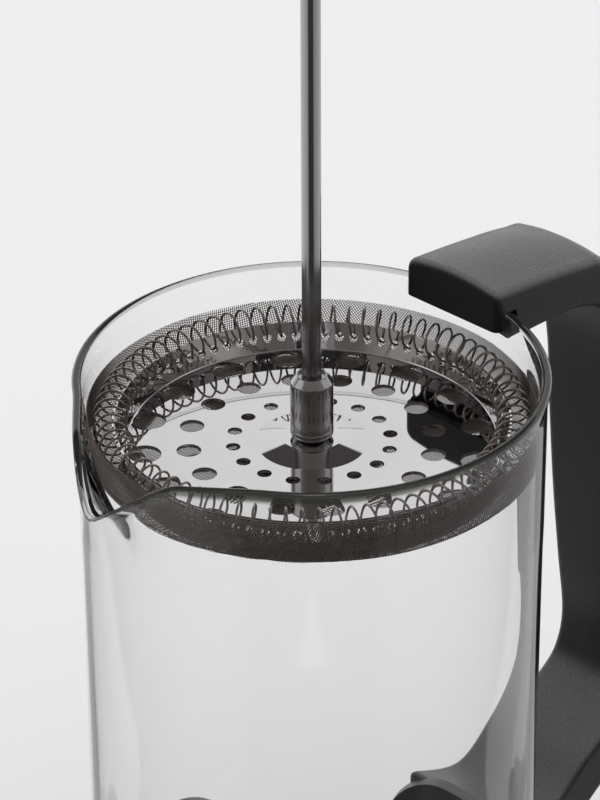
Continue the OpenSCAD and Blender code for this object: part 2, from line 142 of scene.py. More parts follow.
class FilterSizes(PropertyGroup):
    edge: length("Dish edge", "Outside radius of the dish's edge", 41.1)
    slope: angle("Wall slope", "Slope of the dish's turned-up wall", 70.0)
    crown: length("Crown", "Radius of the dish's raised crown", 11.9)
    crown_top: length("Crown top", "Radius of the flat top of the crown", 5.9)
    crown_rise: length("Crown rise", "Height of the crown above the dish's floor", 1.0)
    rise: length("Dish rise", "Height of the dish's edge above its floor", 5.8)
    sheet: length("Sheet", "Thickness of the pressed sheet", 0.8)
    ring_pitch: length("Ring pitch", "Distance between the rings of holes", 9.15)
    hole_small: length("Small hole", "Diameter of the inner holes", 3.0)
    hole_middle: length("Middle hole", "Diameter of the middle holes", 5.1)
    hole_large: length("Large hole", "Diameter of the outer holes", 7.0)
    ring_holes: IntProperty(name="Holes", description="Holes in each ring", default=16, min=6, max=32)
    ring_phase: angle("Ring phase", "Angle of the first holes", 8.5)
    lacing_hole: length("Lacing hole", "Diameter of a hole that the spring is laced through", 1.9)
    coils: IntProperty(
        name="Coils", description="Coils of the spring, one for each lacing hole", default=80, min=20, max=120,
    )
    coil: length("Coil", "Diameter of the spring's coils", 7.3)
    wire: length("Spring wire", "Thickness of the spring's wire", 0.5)
    screen: length("Screen radius", "Outside radius of the woven screen", 46.0)
    skirt: length("Skirt", "Height of the screen's turned-up skirt", 9.2)
    mesh_pitch: length("Mesh pitch", "Distance between the wires of the screen", 0.54)
    mesh_wire: length("Mesh wire", "Thickness of the wires of the screen", 0.205)


class PlungerSizes(PropertyGroup):
    rod: length("Rod", "Radius of the rod", 2.0)
    hub: length("Hub", "Radius of the hub sleeve", 4.45)


class Finishes(PropertyGroup):
    plastic: colour("Plastic", "Colour of the moulded plastic", (0.0062, 0.006, 0.0063))
    lining: colour("Lining", "Colour of the lid's lining", (0.20, 0.195, 0.195))
    steel: colour("Steel", "Colour of the polished steel", (0.66, 0.65, 0.655))
    wire: colour("Wire", "Colour of the spring's wire", (0.31, 0.27, 0.25))
    weave: colour("Weave", "Colour of the screen's wires", (0.38, 0.335, 0.315))
    glass: colour("Glass", "Tint of the glass", (1.0, 1.0, 1.0))
    # painted shade: the dark colour laid into the thick bead, deepest on the side toward the camera
    painted_bead_shade: colour("Glass edge", "Tint of the thick bead, seen along the glass", (0.055, 0.056, 0.05))
    brass: colour("Brass", "Colour of the knob's threaded insert", (0.62, 0.46, 0.22))
    grain: share("Grain", "Strength of the moulded grain", 0.35)
    wear: share("Wear", "Amount of fine scratches on the steel", 0.25)


class StageSettings(PropertyGroup):
    eye: FloatVectorProperty(
        name="Camera place", description="Where the camera stands", default=(-0.47955, -0.47369, 0.56198),
        subtype="TRANSLATION", unit="LENGTH",
    )
    heading: angle("Heading", "Direction the camera looks in, seen from above", 44.908)
    pitch: angle("Pitch", "How far the camera looks down", 29.847)
    roll: angle("Roll", "Turn of the camera about its own line of sight", -0.315)
    lens: FloatProperty(name="Lens", description="Focal length in millimetres", default=171.214, min=20, max=400)
    backdrop: colour("Floor colour", "Colour of the pale floor", (0.885, 0.885, 0.885))
    fill: FloatProperty(name="Fill", description="Strength of the soft light all round", default=0.94, min=0, max=5)


class PressSettings(PropertyGroup):
    beaker: PointerProperty(type=BeakerSizes)
    holder: PointerProperty(type=HolderSizes)
    filter: PointerProperty(type=FilterSizes)
    plunger: PointerProperty(type=PlungerSizes)
    finish: PointerProperty(type=Finishes)
    stage: PointerProperty(type=StageSettings)


# ---- meshes ----


def lerp(a, b, t):
    return a + (b - a) * t


def smooth(t):
    t = min(1.0, max(0.0, t))
    return t * t * (3 - 2 * t)


def arc(cx, cy, r, a0, a1, steps):
    """Points of an arc from angle a0 to a1, in degrees."""
    return [
        (
            cx + r * math.cos(math.radians(lerp(a0, a1, i / steps))),
            cy + r * math.sin(math.radians(lerp(a0, a1, i / steps))),
        )
        for i in range(steps + 1)
    ]


def rounded(points, radius, steps=4):
    """The closed outline with each corner rounded. radius is one number, or one for each corner."""
    count = len(points)
    radii = radius if isinstance(radius, (list, tuple)) else [radius] * count
    out = []
    for i, (p, r) in enumerate(zip(points, radii)):
        here = Vector(p)
        before = Vector(points[i - 1]) - here
        after = Vector(points[(i + 1) % count]) - here
        turn = before.angle(after, math.pi)
        if r <= 0 or turn > math.radians(176):
            out.append(tuple(here))
            continue
        reach = min(r / math.tan(turn / 2), before.length * 0.48, after.length * 0.48)
        r = reach * math.tan(turn / 2)
        start, end = here + before.normalized() * reach, here + after.normalized() * reach
        middle = here + (before.normalized() + after.normalized()).normalized() * (r / math.sin(turn / 2))
        a, b = start - middle, end - middle
        sweep = a.angle(b)
        for k in range(steps + 1):
            t = k / steps
            p = (a * math.sin((1 - t) * sweep) + b * math.sin(t * sweep)) / math.sin(sweep)
            out.append(tuple(middle + p))
    return out


def new_piece(name, verts, faces):
    """A mesh object at the origin, with its place in its mesh."""
    mesh = bpy.data.meshes.new(name)
    mesh.from_pydata([tuple(v) for v in verts], [], faces)
    mesh.validate()
    mesh.update()
    piece = bpy.data.objects.new(name, mesh)
    bpy.context.scene.collection.objects.link(piece)
    return piece


def turn_outwards(piece):
    """Recalculates the normals of a closed shell, after its doubles are merged."""
    shape = bmesh.new()
    shape.from_mesh(piece.data)
    bmesh.ops.remove_doubles(shape, verts=shape.verts, dist=1e-7)
    bmesh.ops.recalc_face_normals(shape, faces=shape.faces)
    shape.to_mesh(piece.data)
    shape.free()
    piece.data.update()


def lathe(name, outline, steps=96):
    """A closed outline of (radius, height) turned round the axis."""
    verts, rings = [], []
    for r, z in outline:
        if r < 1e-7:
            rings.append([len(verts)] * steps)
            verts.append((0, 0, z))
        else:
            rings.append(list(range(len(verts), len(verts) + steps)))
            for j in range(steps):
                a = 2 * math.pi * j / steps
                verts.append((r * math.cos(a), r * math.sin(a), z))
    faces = []
    for i in range(len(rings)):
        low, high = rings[i], rings[(i + 1) % len(rings)]
        if low[0] == low[1] and high[0] == high[1]:
            continue
        for j in range(steps):
            k = (j + 1) % steps
            face = []
            for v in (low[j], low[k], high[k], high[j]):
                if v not in face:
                    face.append(v)
            faces.append(face)
    piece = new_piece(name, verts, faces)
    turn_outwards(piece)
    return piece


def skin(name, rings, closed=False):
    """A skin over equal rings of points: closed round on itself, or capped at both ends."""
    n, count = len(rings[0]), len(rings)
    verts = [p for ring in rings for p in ring]
    faces = []
    for j in range(count if closed else count - 1):
        k = (j + 1) % count
        for i in range(n):
            m = (i + 1) % n
            faces.append((j * n + i, j * n + m, k * n + m, k * n + i))
    if not closed:
        faces.append(tuple(range(n)))
        faces.append(tuple((count - 1) * n + i for i in range(n)))
    piece = new_piece(name, verts, faces)
    turn_outwards(piece)
    return piece


def shade(piece, degrees=40.0):
    """Smooth shading that breaks where faces meet at more than the given angle."""
    piece.data.polygons.foreach_set("use_smooth", [True] * len(piece.data.polygons))
    piece.data.set_sharp_from_angle(angle=math.radians(degrees))
    piece.data.update()


def settle(piece):
    """Turns what the modifiers make into the piece's own plain mesh, and removes them."""
    graph = bpy.context.evaluated_depsgraph_get()
    mesh = bpy.data.meshes.new_from_object(piece.evaluated_get(graph), preserve_all_data_layers=True, depsgraph=graph)
    piece.modifiers.clear()
    old = piece.data
    piece.data = mesh
    mesh.name = piece.name
    if not old.users:
        bpy.data.meshes.remove(old)
    if not mesh.polygons:
        raise RuntimeError(f"{piece.name} came out empty")


def even_normals(piece, degrees=40.0):
    """Lets broad faces keep their own direction, so flat metal reflects without a ripple."""
    shade(piece, degrees)
    keep = piece.modifiers.new("Even normals", "WEIGHTED_NORMAL")
    keep.weight = 80
    keep.keep_sharp = True
    settle(piece)


def soften(piece, width, steps=3, degrees=40.0):
    """Rounds every sharp edge."""
    edge = piece.modifiers.new("Soft edges", "BEVEL")
    edge.width = width
    edge.segments = steps
    edge.limit_method = "ANGLE"
    edge.angle_limit = math.radians(degrees)
    edge.use_clamp_overlap = True
    settle(piece)


def cut(piece, cutter):
    """Cuts one closed shape out of another, and removes the cutter."""
    knife = piece.modifiers.new("Cut", "BOOLEAN")
    knife.operation = "DIFFERENCE"
    knife.solver = "EXACT"
    knife.object = cutter
    settle(piece)
    mesh = cutter.data
    bpy.data.objects.remove(cutter)
    bpy.data.meshes.remove(mesh)


def join(name, parts):
    """Several shells as one piece."""
    shape = bmesh.new()
    for part in parts:
        shape.from_mesh(part.data)
    mesh = bpy.data.meshes.new(name)
    shape.to_mesh(mesh)
    shape.free()
    for part in parts:
        old = part.data
        bpy.data.objects.remove(part)
        bpy.data.meshes.remove(old)
    piece = bpy.data.objects.new(name, mesh)
    bpy.context.scene.collection.objects.link(piece)
    return piece


def stand_in(piece, body, slot, material, *nodes):
    """Gives a finished piece its material and its body, and hides the CAD nodes that it stands for. slot is not used.
    """
    piece.data.materials.clear()
    piece.data.materials.append(material)
    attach(piece, body)
    if nodes:
        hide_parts(*nodes)


# ---- node trees ----


def socket_id(tree, name):
    """The identifier of a tree's input socket."""
    for item in tree.interface.items_tree:
        if item.item_type == "SOCKET" and item.in_out == "INPUT" and item.name == name:
            return item.identifier
    raise KeyError(name)


def geometry_tree(name, inputs):
    """A geometry tree with one geometry in, one out, and named inputs as (name, type, default)."""
    tree = bpy.data.node_groups.new(name, "GeometryNodeTree")
    tree.interface.new_socket("Geometry", in_out="INPUT", socket_type="NodeSocketGeometry")
    for label, kind, value in inputs:
        item = tree.interface.new_socket(label, in_out="INPUT", socket_type=kind)
        if value is not None:
            item.default_value = value
    tree.interface.new_socket("Geometry", in_out="OUTPUT", socket_type="NodeSocketGeometry")
    return tree, tree.nodes.new("NodeGroupInput"), tree.nodes.new("NodeGroupOutput")


def add(tree, kind, links=None, **settings):
    """A node with its settings, and its inputs given as sockets to link or plain values."""
    node = tree.nodes.new(kind)
    for key, value in settings.items():
        setattr(node, key, value)
    for key, value in (links or {}).items():
        target = node.inputs[key]
        if isinstance(value, bpy.types.NodeSocket):
            tree.links.new(value, target)
        else:
            target.default_value = value
    return node


def maths(tree, operation, a, b=None, c=None):
    """The result of a Math node."""
    links = {0: a}
    if b is not None:
        links[1] = b
    if c is not None:
        links[2] = c
    return add(tree, "ShaderNodeMath", links, operation=operation).outputs[0]


def ramp(tree, value, low, high, to_low=0.0, to_high=1.0, smooth=False):
    """Takes a value from one range to another, and holds it at the ends."""
    links = {"Value": value, "From Min": low, "From Max": high, "To Min": to_low, "To Max": to_high}
    return add(tree, "ShaderNodeMapRange", links, interpolation_type="SMOOTHSTEP" if smooth else "LINEAR").outputs[0]


def blend(tree, share, a, b, how="MIX"):
    """Two colours mixed by a share."""
    links = {"Factor": share, "A": a, "B": b}
    return add(tree, "ShaderNodeMix", links, data_type="RGBA", blend_type=how).outputs["Result"]


def run_tree(piece, tree, values):
    """Puts a geometry tree on a piece, sets its inputs, and keeps the mesh that it makes."""
    maker = piece.modifiers.new(tree.name, "NODES")
    maker.node_group = tree
    for name, value in values.items():
        maker[socket_id(tree, name)] = value
    settle(piece)


# ---- finishes ----


def shader_group(name, inputs, outputs):
    """A shader node group with named sockets."""
    tree = bpy.data.node_groups.new(name, "ShaderNodeTree")
    for label, kind, value in inputs:
        item = tree.interface.new_socket(label, in_out="INPUT", socket_type=kind)
        if value is not None:
            item.default_value = value
    for label, kind in outputs:
        tree.interface.new_socket(label, in_out="OUTPUT", socket_type=kind)
    return tree, tree.nodes.new("NodeGroupInput"), tree.nodes.new("NodeGroupOutput")


def moulded_grain():
    """Fine spark-eroded grain with soft larger patches, for moulded plastic."""
    tree, gin, gout = shader_group(
        "Moulded grain",
        [("Vector", "NodeSocketVector", None), ("Scale", "NodeSocketFloat", 1600.0), ("Colour", "NodeSocketColor", None),
         ("Low Roughness", "NodeSocketFloat", 0.4), ("High Roughness", "NodeSocketFloat", 0.55)],
        [("Colour", "NodeSocketColor"), ("Roughness", "NodeSocketFloat"), ("Height", "NodeSocketFloat")],
    )
    fine = add(
        tree, "ShaderNodeTexNoise",
        {"Vector": gin.outputs["Vector"], "Scale": gin.outputs["Scale"], "Detail": 3.0, "Roughness": 0.6},
    )
    patch = add(tree, "ShaderNodeTexNoise", {"Vector": gin.outputs["Vector"], "Scale": 28.0, "Detail": 4.0})
    spread = ramp(tree, patch.outputs["Fac"], 0.3, 0.7, gin.outputs["Low Roughness"], gin.outputs["High Roughness"])
    fleck = ramp(tree, fine.outputs["Fac"], 0.35, 0.75, 0.8, 1.35)
    tint = blend(tree, 1.0, gin.outputs["Colour"], fleck, "MULTIPLY")
    tree.links.new(tint, gout.inputs["Colour"])
    tree.links.new(spread, gout.inputs["Roughness"])
    tree.links.new(fine.outputs["Fac"], gout.inputs["Height"])
    return tree


def worked_steel():
    """Fine lines left by turning, drawing or polishing, with faint smears and scratches."""
    tree, gin, gout = shader_group(
        "Worked steel",
        [("Vector", "NodeSocketVector", None), ("Colour", "NodeSocketColor", None), ("Roughness", "NodeSocketFloat", 0.08),
         ("Smear", "NodeSocketFloat", 0.04), ("Wear", "NodeSocketFloat", 0.3)],
        [("Colour", "NodeSocketColor"), ("Roughness", "NodeSocketFloat"), ("Height", "NodeSocketFloat")],
    )
    lines = add(tree, "ShaderNodeTexNoise", {"Vector": gin.outputs["Vector"], "Scale": 900.0, "Detail": 2.0})
    smear = add(
        tree, "ShaderNodeTexNoise", {"Vector": gin.outputs["Vector"], "Scale": 60.0, "Detail": 5.0, "Roughness": 0.6},
    )
    scratch = add(
        tree, "ShaderNodeTexVoronoi", {"Vector": gin.outputs["Vector"], "Scale": 210.0}, feature="DISTANCE_TO_EDGE",
    )
    hair = ramp(tree, scratch.outputs["Distance"], 0.0, 0.02, 1.0, 0.0)
    worn = maths(tree, "MULTIPLY", hair, gin.outputs["Wear"])
    spots = maths(tree, "MULTIPLY", smear.outputs["Fac"], gin.outputs["Smear"])
    rough = maths(tree, "ADD", gin.outputs["Roughness"], spots)
    rough = maths(tree, "MULTIPLY_ADD", worn, 0.05, rough)
    cloud = ramp(tree, smear.outputs["Fac"], 0.25, 0.75, 0.93, 1.05)
    tint = blend(tree, 1.0, gin.outputs["Colour"], cloud, "MULTIPLY")
    tree.links.new(tint, gout.inputs["Colour"])
    tree.links.new(rough, gout.inputs["Roughness"])
    tree.links.new(lines.outputs["Fac"], gout.inputs["Height"])
    return tree


def group_tree(name, maker):
    """The named node group, made the first time it is asked for."""
    return bpy.data.node_groups.get(name) or maker()


def blank_material(name):
    """A new material with one Principled shader, and that shader."""
    material = bpy.data.materials.new(name)
    material.use_nodes = True
    tree = material.node_tree
    shader = next(n for n in tree.nodes if n.type == "BSDF_PRINCIPLED")
    return material, tree, shader


def object_vector(tree, scale=(1.0, 1.0, 1.0)):
    """Object coordinates, stretched by scale."""
    where = tree.nodes.new("ShaderNodeTexCoord")
    return add(tree, "ShaderNodeMapping", {"Vector": where.outputs["Object"], "Scale": scale}).outputs[0]


def ring_vector(tree, per_turn=0.002, across=1.0):
    """Coordinates that run round the axis: small steps round it, full steps out and up."""
    where = tree.nodes.new("ShaderNodeTexCoord")
    parts = add(tree, "ShaderNodeSeparateXYZ", {0: where.outputs["Object"]})
    x, y, z = parts.outputs
    radius = maths(tree, "SQRT", maths(tree, "ADD", maths(tree, "MULTIPLY", x, x), maths(tree, "MULTIPLY", y, y)))
    turn = maths(tree, "MULTIPLY", maths(tree, "ARCTAN2", y, x), per_turn)
    return add(
        tree, "ShaderNodeCombineXYZ",
        {0: maths(tree, "MULTIPLY", radius, across), 1: turn, 2: maths(tree, "MULTIPLY", z, across)},
    ).outputs[0]


def bump(tree, shader, height, strength, distance):
    node = add(tree, "ShaderNodeBump", {"Height": height, "Strength": strength, "Distance": distance})
    tree.links.new(node.outputs["Normal"], shader.inputs["Normal"])


def plastic(name, tint, low, high, grain, scale=2400.0):
    """Moulded plastic with a fine eroded grain, and a painted sheen lightening the faces that look upward."""
    material, tree, shader = blank_material(name)
    group = tree.nodes.new("ShaderNodeGroup")
    group.node_tree = group_tree("Moulded grain", moulded_grain)
    tree.links.new(object_vector(tree), group.inputs["Vector"])
    group.inputs["Scale"].default_value = scale
    # painted sheen: faces that look upward are lightened towards grey, standing in for the light they reflect
    upward = add(tree, "ShaderNodeAttribute", attribute_name="upward")
    painted_top_sheen = ramp(tree, upward.outputs["Fac"], 0.35, 0.95, smooth=True)
    sheen_lit_tint = blend(tree, painted_top_sheen, (*tint, 1.0), (0.125, 0.125, 0.13, 1.0))
    tree.links.new(sheen_lit_tint, group.inputs["Colour"])
    group.inputs["Low Roughness"].default_value = low
    group.inputs["High Roughness"].default_value = high
    tree.links.new(group.outputs["Colour"], shader.inputs["Base Color"])
    tree.links.new(group.outputs["Roughness"], shader.inputs["Roughness"])
    bump(tree, shader, group.outputs["Height"], grain, 0.0004)
    shader.inputs["IOR"].default_value = 1.5
    shader.inputs["Specular IOR Level"].default_value = 0.26
    return material


def steel(name, tint, rough, smear, wear, vector, lines=0.0):
    """Stainless steel. vector makes the coordinates that its fine lines follow."""
    material, tree, shader = blank_material(name)
    group = tree.nodes.new("ShaderNodeGroup")
    group.node_tree = group_tree("Worked steel", worked_steel)
    tree.links.new(vector(tree), group.inputs["Vector"])
    group.inputs["Colour"].default_value = (*tint, 1.0)
    group.inputs["Roughness"].default_value = rough
    group.inputs["Smear"].default_value = smear
    group.inputs["Wear"].default_value = wear
    tree.links.new(group.outputs["Colour"], shader.inputs["Base Color"])
    tree.links.new(group.outputs["Roughness"], shader.inputs["Roughness"])
    shader.inputs["Metallic"].default_value = 1.0
    if lines:
        bump(tree, shader, group.outputs["Height"], lines, 0.00002)
    return material


def glass(name, tint, bead_shade_tint):
    """Clear borosilicate glass with a slow ripple from drawing, and painted shade and a faint painted glow in its thick
    bead.
    """
    material, tree, shader = blank_material(name)
    # painted light in the bead: a faint glow of its own, and a dark colour that shades the light passing through
    bead = add(tree, "ShaderNodeAttribute", attribute_name="bead")
    piped = blend(tree, bead.outputs["Fac"], (0.0, 0.0, 0.0, 1.0), (0.020, 0.020, 0.018, 1.0))
    tree.links.new(piped, shader.inputs["Emission Color"])
    shader.inputs["Emission Strength"].default_value = 1.0
    tone = blend(tree, bead.outputs["Fac"], (*tint, 1.0), (*bead_shade_tint, 1.0))
    tree.links.new(tone, shader.inputs["Base Color"])
    shader.inputs["Metallic"].default_value = 0.0
    shader.inputs["Transmission Weight"].default_value = 1.0
    shader.inputs["IOR"].default_value = GLASS_IOR
    smudge = add(tree, "ShaderNodeTexNoise", {"Vector": object_vector(tree), "Scale": 45.0, "Detail": 4.0})
    rough = ramp(tree, smudge.outputs["Fac"], 0.45, 0.85, 0.0, 0.012)
    tree.links.new(rough, shader.inputs["Roughness"])
    ripple = add(
        tree, "ShaderNodeTexNoise", {"Vector": object_vector(tree, (1.0, 1.0, 0.25)), "Scale": 24.0, "Detail": 1.0},
    )
    bump(tree, shader, ripple.outputs["Fac"], 0.05, 0.001)
    return material


def finish_of(name, maker):
    """The named material, made the first time it is asked for."""
    return bpy.data.materials.get(name) or maker(name)


def settings():
    return bpy.context.scene.press_settings


# ---- beaker ----


def lip_share(turn, half):
    """1 at the lip's middle, slightly rounded there, down to 0 at a half angle to either side."""
    tip = 0.087
    u = min(1.0, abs(turn - math.pi) / half)
    return 1 - (math.sqrt(u * u + tip * tip) - tip) / (math.sqrt(1 + tip * tip) - tip)


def beaker_outline(b):
    """Closed wall section as (radius, height, share of the pulled band)."""
    bead = b.bead / 2
    top = 1 - bead / b.band
    shares = [top * (1 - (1 - i / 30) ** 1.6) for i in range(31)]
    flare = lambda h: smooth(1 - (1 - h) * b.band / 0.006)
    outer = [(b.radius + lerp(0.0001, b.flare, flare(h)), h) for h in shares]
    inner = [(b.radius + b.flare * flare(h) - lerp(b.wall, b.bead, flare(h)), h) for h in shares]
    foot = RIM - b.band
    middle = b.radius + b.flare - bead
    inside = b.heel - b.wall
    floor = GLASS_FOOT + b.floor
    points = [(0.0, GLASS_FOOT, 0.0), (b.radius - b.heel - 0.004, GLASS_FOOT, 0.0)]
    points += [(r, z, 0.0) for r, z in arc(b.radius - b.heel, GLASS_FOOT + b.heel, b.heel, -90, 0, 12)]
    points += [(b.radius, lerp(GLASS_FOOT + b.heel, foot, t), 0.0) for t in (0.33, 0.66, 0.97)]
    points += [(r, foot + h * b.band, h) for r, h in outer[1:]]
    points += [(middle + dx, RIM - bead + dz, 1.0) for dx, dz in arc(0, 0, bead, 18, 162, 8)]
    points += [(r, foot + h * b.band, h) for r, h in reversed(inner[1:])]
    points += [(b.radius - b.wall, lerp(foot, floor + inside, t), 0.0) for t in (0.03, 0.33, 0.66)]
    points += [(r, z, 0.0) for r, z in arc(b.radius - b.wall - inside, floor + inside, inside, 0, -90, 12)]
    points += [(b.radius - b.wall - inside - 0.004, floor, 0.0), (0.0, floor, 0.0)]
    return points


class PRESS_OT_beaker(Operator):
    """Blows the glass beaker with its pulled pouring lip and fire-polished rim"""

    bl_idname = "press.beaker"
    bl_label = "Beaker"

    def execute(self, context):
        b = settings().beaker
        outline = beaker_outline(b)
        verts, rings, bead = [], [], []
        for r, z, h in outline:
            if r < 1e-7:
                rings.append([len(verts)] * b.columns)
                verts.append((0, 0, z))
                bead.append(0.0)
                continue
            rings.append(list(range(len(verts), len(verts) + b.columns)))
            for j in range(b.columns):
                turn = 2 * math.pi * j / b.columns
                # painted shade in the bead: deepest on the side toward the camera, fading down from the rim and on the
                # lip
                front = (0.5 + 0.5 * math.cos(turn - BEAD_SHADE_SIDE)) ** 2
                reach = lerp(0.35, 1.5, front) * b.bead
                bead_shade_mask = lerp(0.6, 1.0, front) * smooth((reach - (1 - h) * b.band) / (BEAD_FADE * b.bead))
                bead.append(bead_shade_mask * (1 - LIP_CLEAR * smooth(lip_share(turn, 0.7 * b.lip_half))))
                out = r + b.lip_reach * lip_share(turn, b.lip_half) ** 1.75 * h ** 2.4
                drop = b.lip_drop * lip_share(turn, 0.45 * b.lip_half) ** 1.35 * h ** 3
                turn += b.lip_turn
                verts.append((out * math.cos(turn), out * math.sin(turn), z - drop))
        faces = []
        for low, high in zip(rings, rings[1:]):
            for j in range(b.columns):
                k = (j + 1) % b.columns
                corners = (low[j], low[k], high[k], high[j])
                faces.append([v for n, v in enumerate(corners) if v not in corners[:n]])
        piece = new_piece("beaker_glass", verts, faces)
        piece.data.attributes.new("bead", "FLOAT", "POINT").data.foreach_set("value", bead)
        turn_outwards(piece)
        shade(piece, 70)
        tint, bead_shade_tint = settings().finish.glass, settings().finish.painted_bead_shade
        clear = finish_of("Borosilicate glass", lambda n: glass(n, tint, bead_shade_tint))
        stand_in(piece, "beaker", "beaker_glass", clear, "beaker")
        return {"FINISHED"}


# ---- holder ----


def through(rows, steps):
    """Rows of a smooth curve through each row of a list, with a few steps in each gap."""
    last = len(rows) - 1
    out = []
    for i in range(last):
        a, b, c, d = rows[max(0, i - 1)], rows[i], rows[i + 1], rows[min(last, i + 2)]
        for s in range(steps + (1 if i == last - 1 else 0)):
            t = s / steps
            out.append([
                0.5 * (2 * q + (r - p) * t + (2 * p - 5 * q + 4 * r - w) * t * t + (3 * q - p - 3 * r + w) * t ** 3)
                for p, q, r, w in zip(a, b, c, d)
            ])
    return out


def handle_rows(h):
    """Rows of inner x and z, outer x and z, width and crown, in millimetres."""
    glass_r = 48.0
    g = glass_r + h.finger_gap / MM
    t = g + h.grip / MM
    w = h.width / MM
    z = RIM / MM
    foot = h.handle_petal / MM
    rise = h.hook_rise / MM
    level = lambda part: lerp(foot + 9, z - 29, part)
    return [
        [h.hook_x / MM, z - 6.9, h.hook_x / MM, z + rise, w, 0.9],
        [glass_r + 8, z - 6.8, glass_r + 8.5, z + rise - 1, w, 1.3],
        [g - 19, z - 7.5, g - 16, z + rise - 2.7, w, 1.5],
        [g - 10, z - 11, g - 8.6, z + rise - 6, w, 1],
        [g - 3, z - 19.5, g + 4.2, z + rise - 20.6, w, 3.2],
        [g, level(0.98), t - 1.5, level(1.02), w, 4.5],
        [g + 1.6, level(0.77), t + 2, level(0.77), w, 5.5],
        [g + 3.7, level(0.54), t + 4.2, level(0.52), w, 6],
        [g + 6.4, level(0.32), t + 6.8, level(0.27), w, 6],
        [g + 8.6, level(0.15), t + 7.5, level(0.06), w, 6],
        [g + 7, foot + 14, g + 21, foot, w, 6],
        [g + 2, foot + 9, g + 11, foot - 8, w, 6],
        [g - 10, foot + 2.5, g - 3, foot - 16, w, 6],
        [g - 23, foot - 4.5, g - 16, foot - 24, w + 2, 6],
        [h.bore / MM + 0.8, foot - 1, h.bore / MM + 0.8, foot - 35, h.strut / MM, 5],
    ]


def handle_ring(row, shrink=0.0):
    """A D-shaped section between an inner and an outer point: flat inside, crowned outside."""
    inner = Vector((row[0], row[1]))
    span = Vector((row[2], row[3])) - inner
    t, along = span.length, span.normalized()
    half, crown = row[4] / 2, row[5]
    r_in, r_out = 2.0, 3.0
    flat, edge = half - r_out, t - crown - r_out
    side = arc(r_in, half - r_in, r_in, 180, 90, 6)
    side += [(lerp(r_in, edge, k / 4), half) for k in range(1, 4)]
    side += arc(edge, half - r_out, r_out, 90, 0, 8)
    side += [(t - crown * (v / flat) ** 2, v) for v in (flat * (1 - i / 8) for i in range(1, 9))]
    side = [(0.0, (half - r_in) * k / 4) for k in range(1, 4)] + side
    back = [(p, -v) for p, v in reversed(side[:-1])]
    ring = [(0.0, 0.0)] + side + back
    out = []
    for p, v in ring:
        p = min(max(p, shrink), t - shrink) if shrink else p
        v = max(-half + shrink, min(half - shrink, v)) if shrink else v
        out.append(((inner.x + along.x * p) * MM, -v * MM, (inner.y + along.y * p) * MM))
    return out


def petal(h, height, turn, columns=24):
    """One curved petal with rounded top corners, and fillets where it rises from the foot."""
    flat = h.petal_width / 2 - h.corner
    base, fillet = h.foot - 0.001, 0.007
    levels = [base + fillet * (1 - math.cos(math.radians(90 * i / 6))) for i in range(6)]
    levels += [lerp(base + fillet, height - h.corner, i / 8) for i in range(8)]
    levels += [height - h.corner + h.corner * math.sin(math.radians(90 * i / 14)) for i in range(15)]

    def half_width(z):
        if z < base + fillet:
            d = fillet - (z - base)
            return h.petal_width / 2 + fillet - math.sqrt(max(0.0, fillet ** 2 - d ** 2))
        if z > height - h.corner:
            d = z - (height - h.corner)
            return flat + math.sqrt(max(0.0, h.corner ** 2 - d ** 2))
        return h.petal_width / 2

    verts, faces = [], []
    rows = len(levels)
    for r in (h.bore + h.wall, h.bore):
        for z in levels:
            w = half_width(z)
            for i in range(columns + 1):
                a = math.asin(w * (2 * i / columns - 1) / (h.bore + h.wall)) + turn
                verts.append((r * math.cos(a), r * math.sin(a), z))
    n, shell = columns + 1, (columns + 1) * rows
    for k in range(rows - 1):
        for i in range(columns):
            a = k * n + i
            faces.append((a, a + 1, a + n + 1, a + n))
            faces.append((shell + a, shell + a + n, shell + a + n + 1, shell + a + 1))
        a, b = k * n, k * n + columns
        faces.append((a, a + n, shell + a + n, shell + a))
        faces.append((b, shell + b, shell + b + n, b + n))
    for i in range(columns):
        a = (rows - 1) * n + i
        faces.append((a, a + 1, shell + a + 1, shell + a))
        faces.append((i, shell + i, shell + i + 1, i + 1))
    piece = new_piece("petal", verts, faces)
    turn_outwards(piece)
    soften(piece, 0.0009, 3, 50)
    return piece


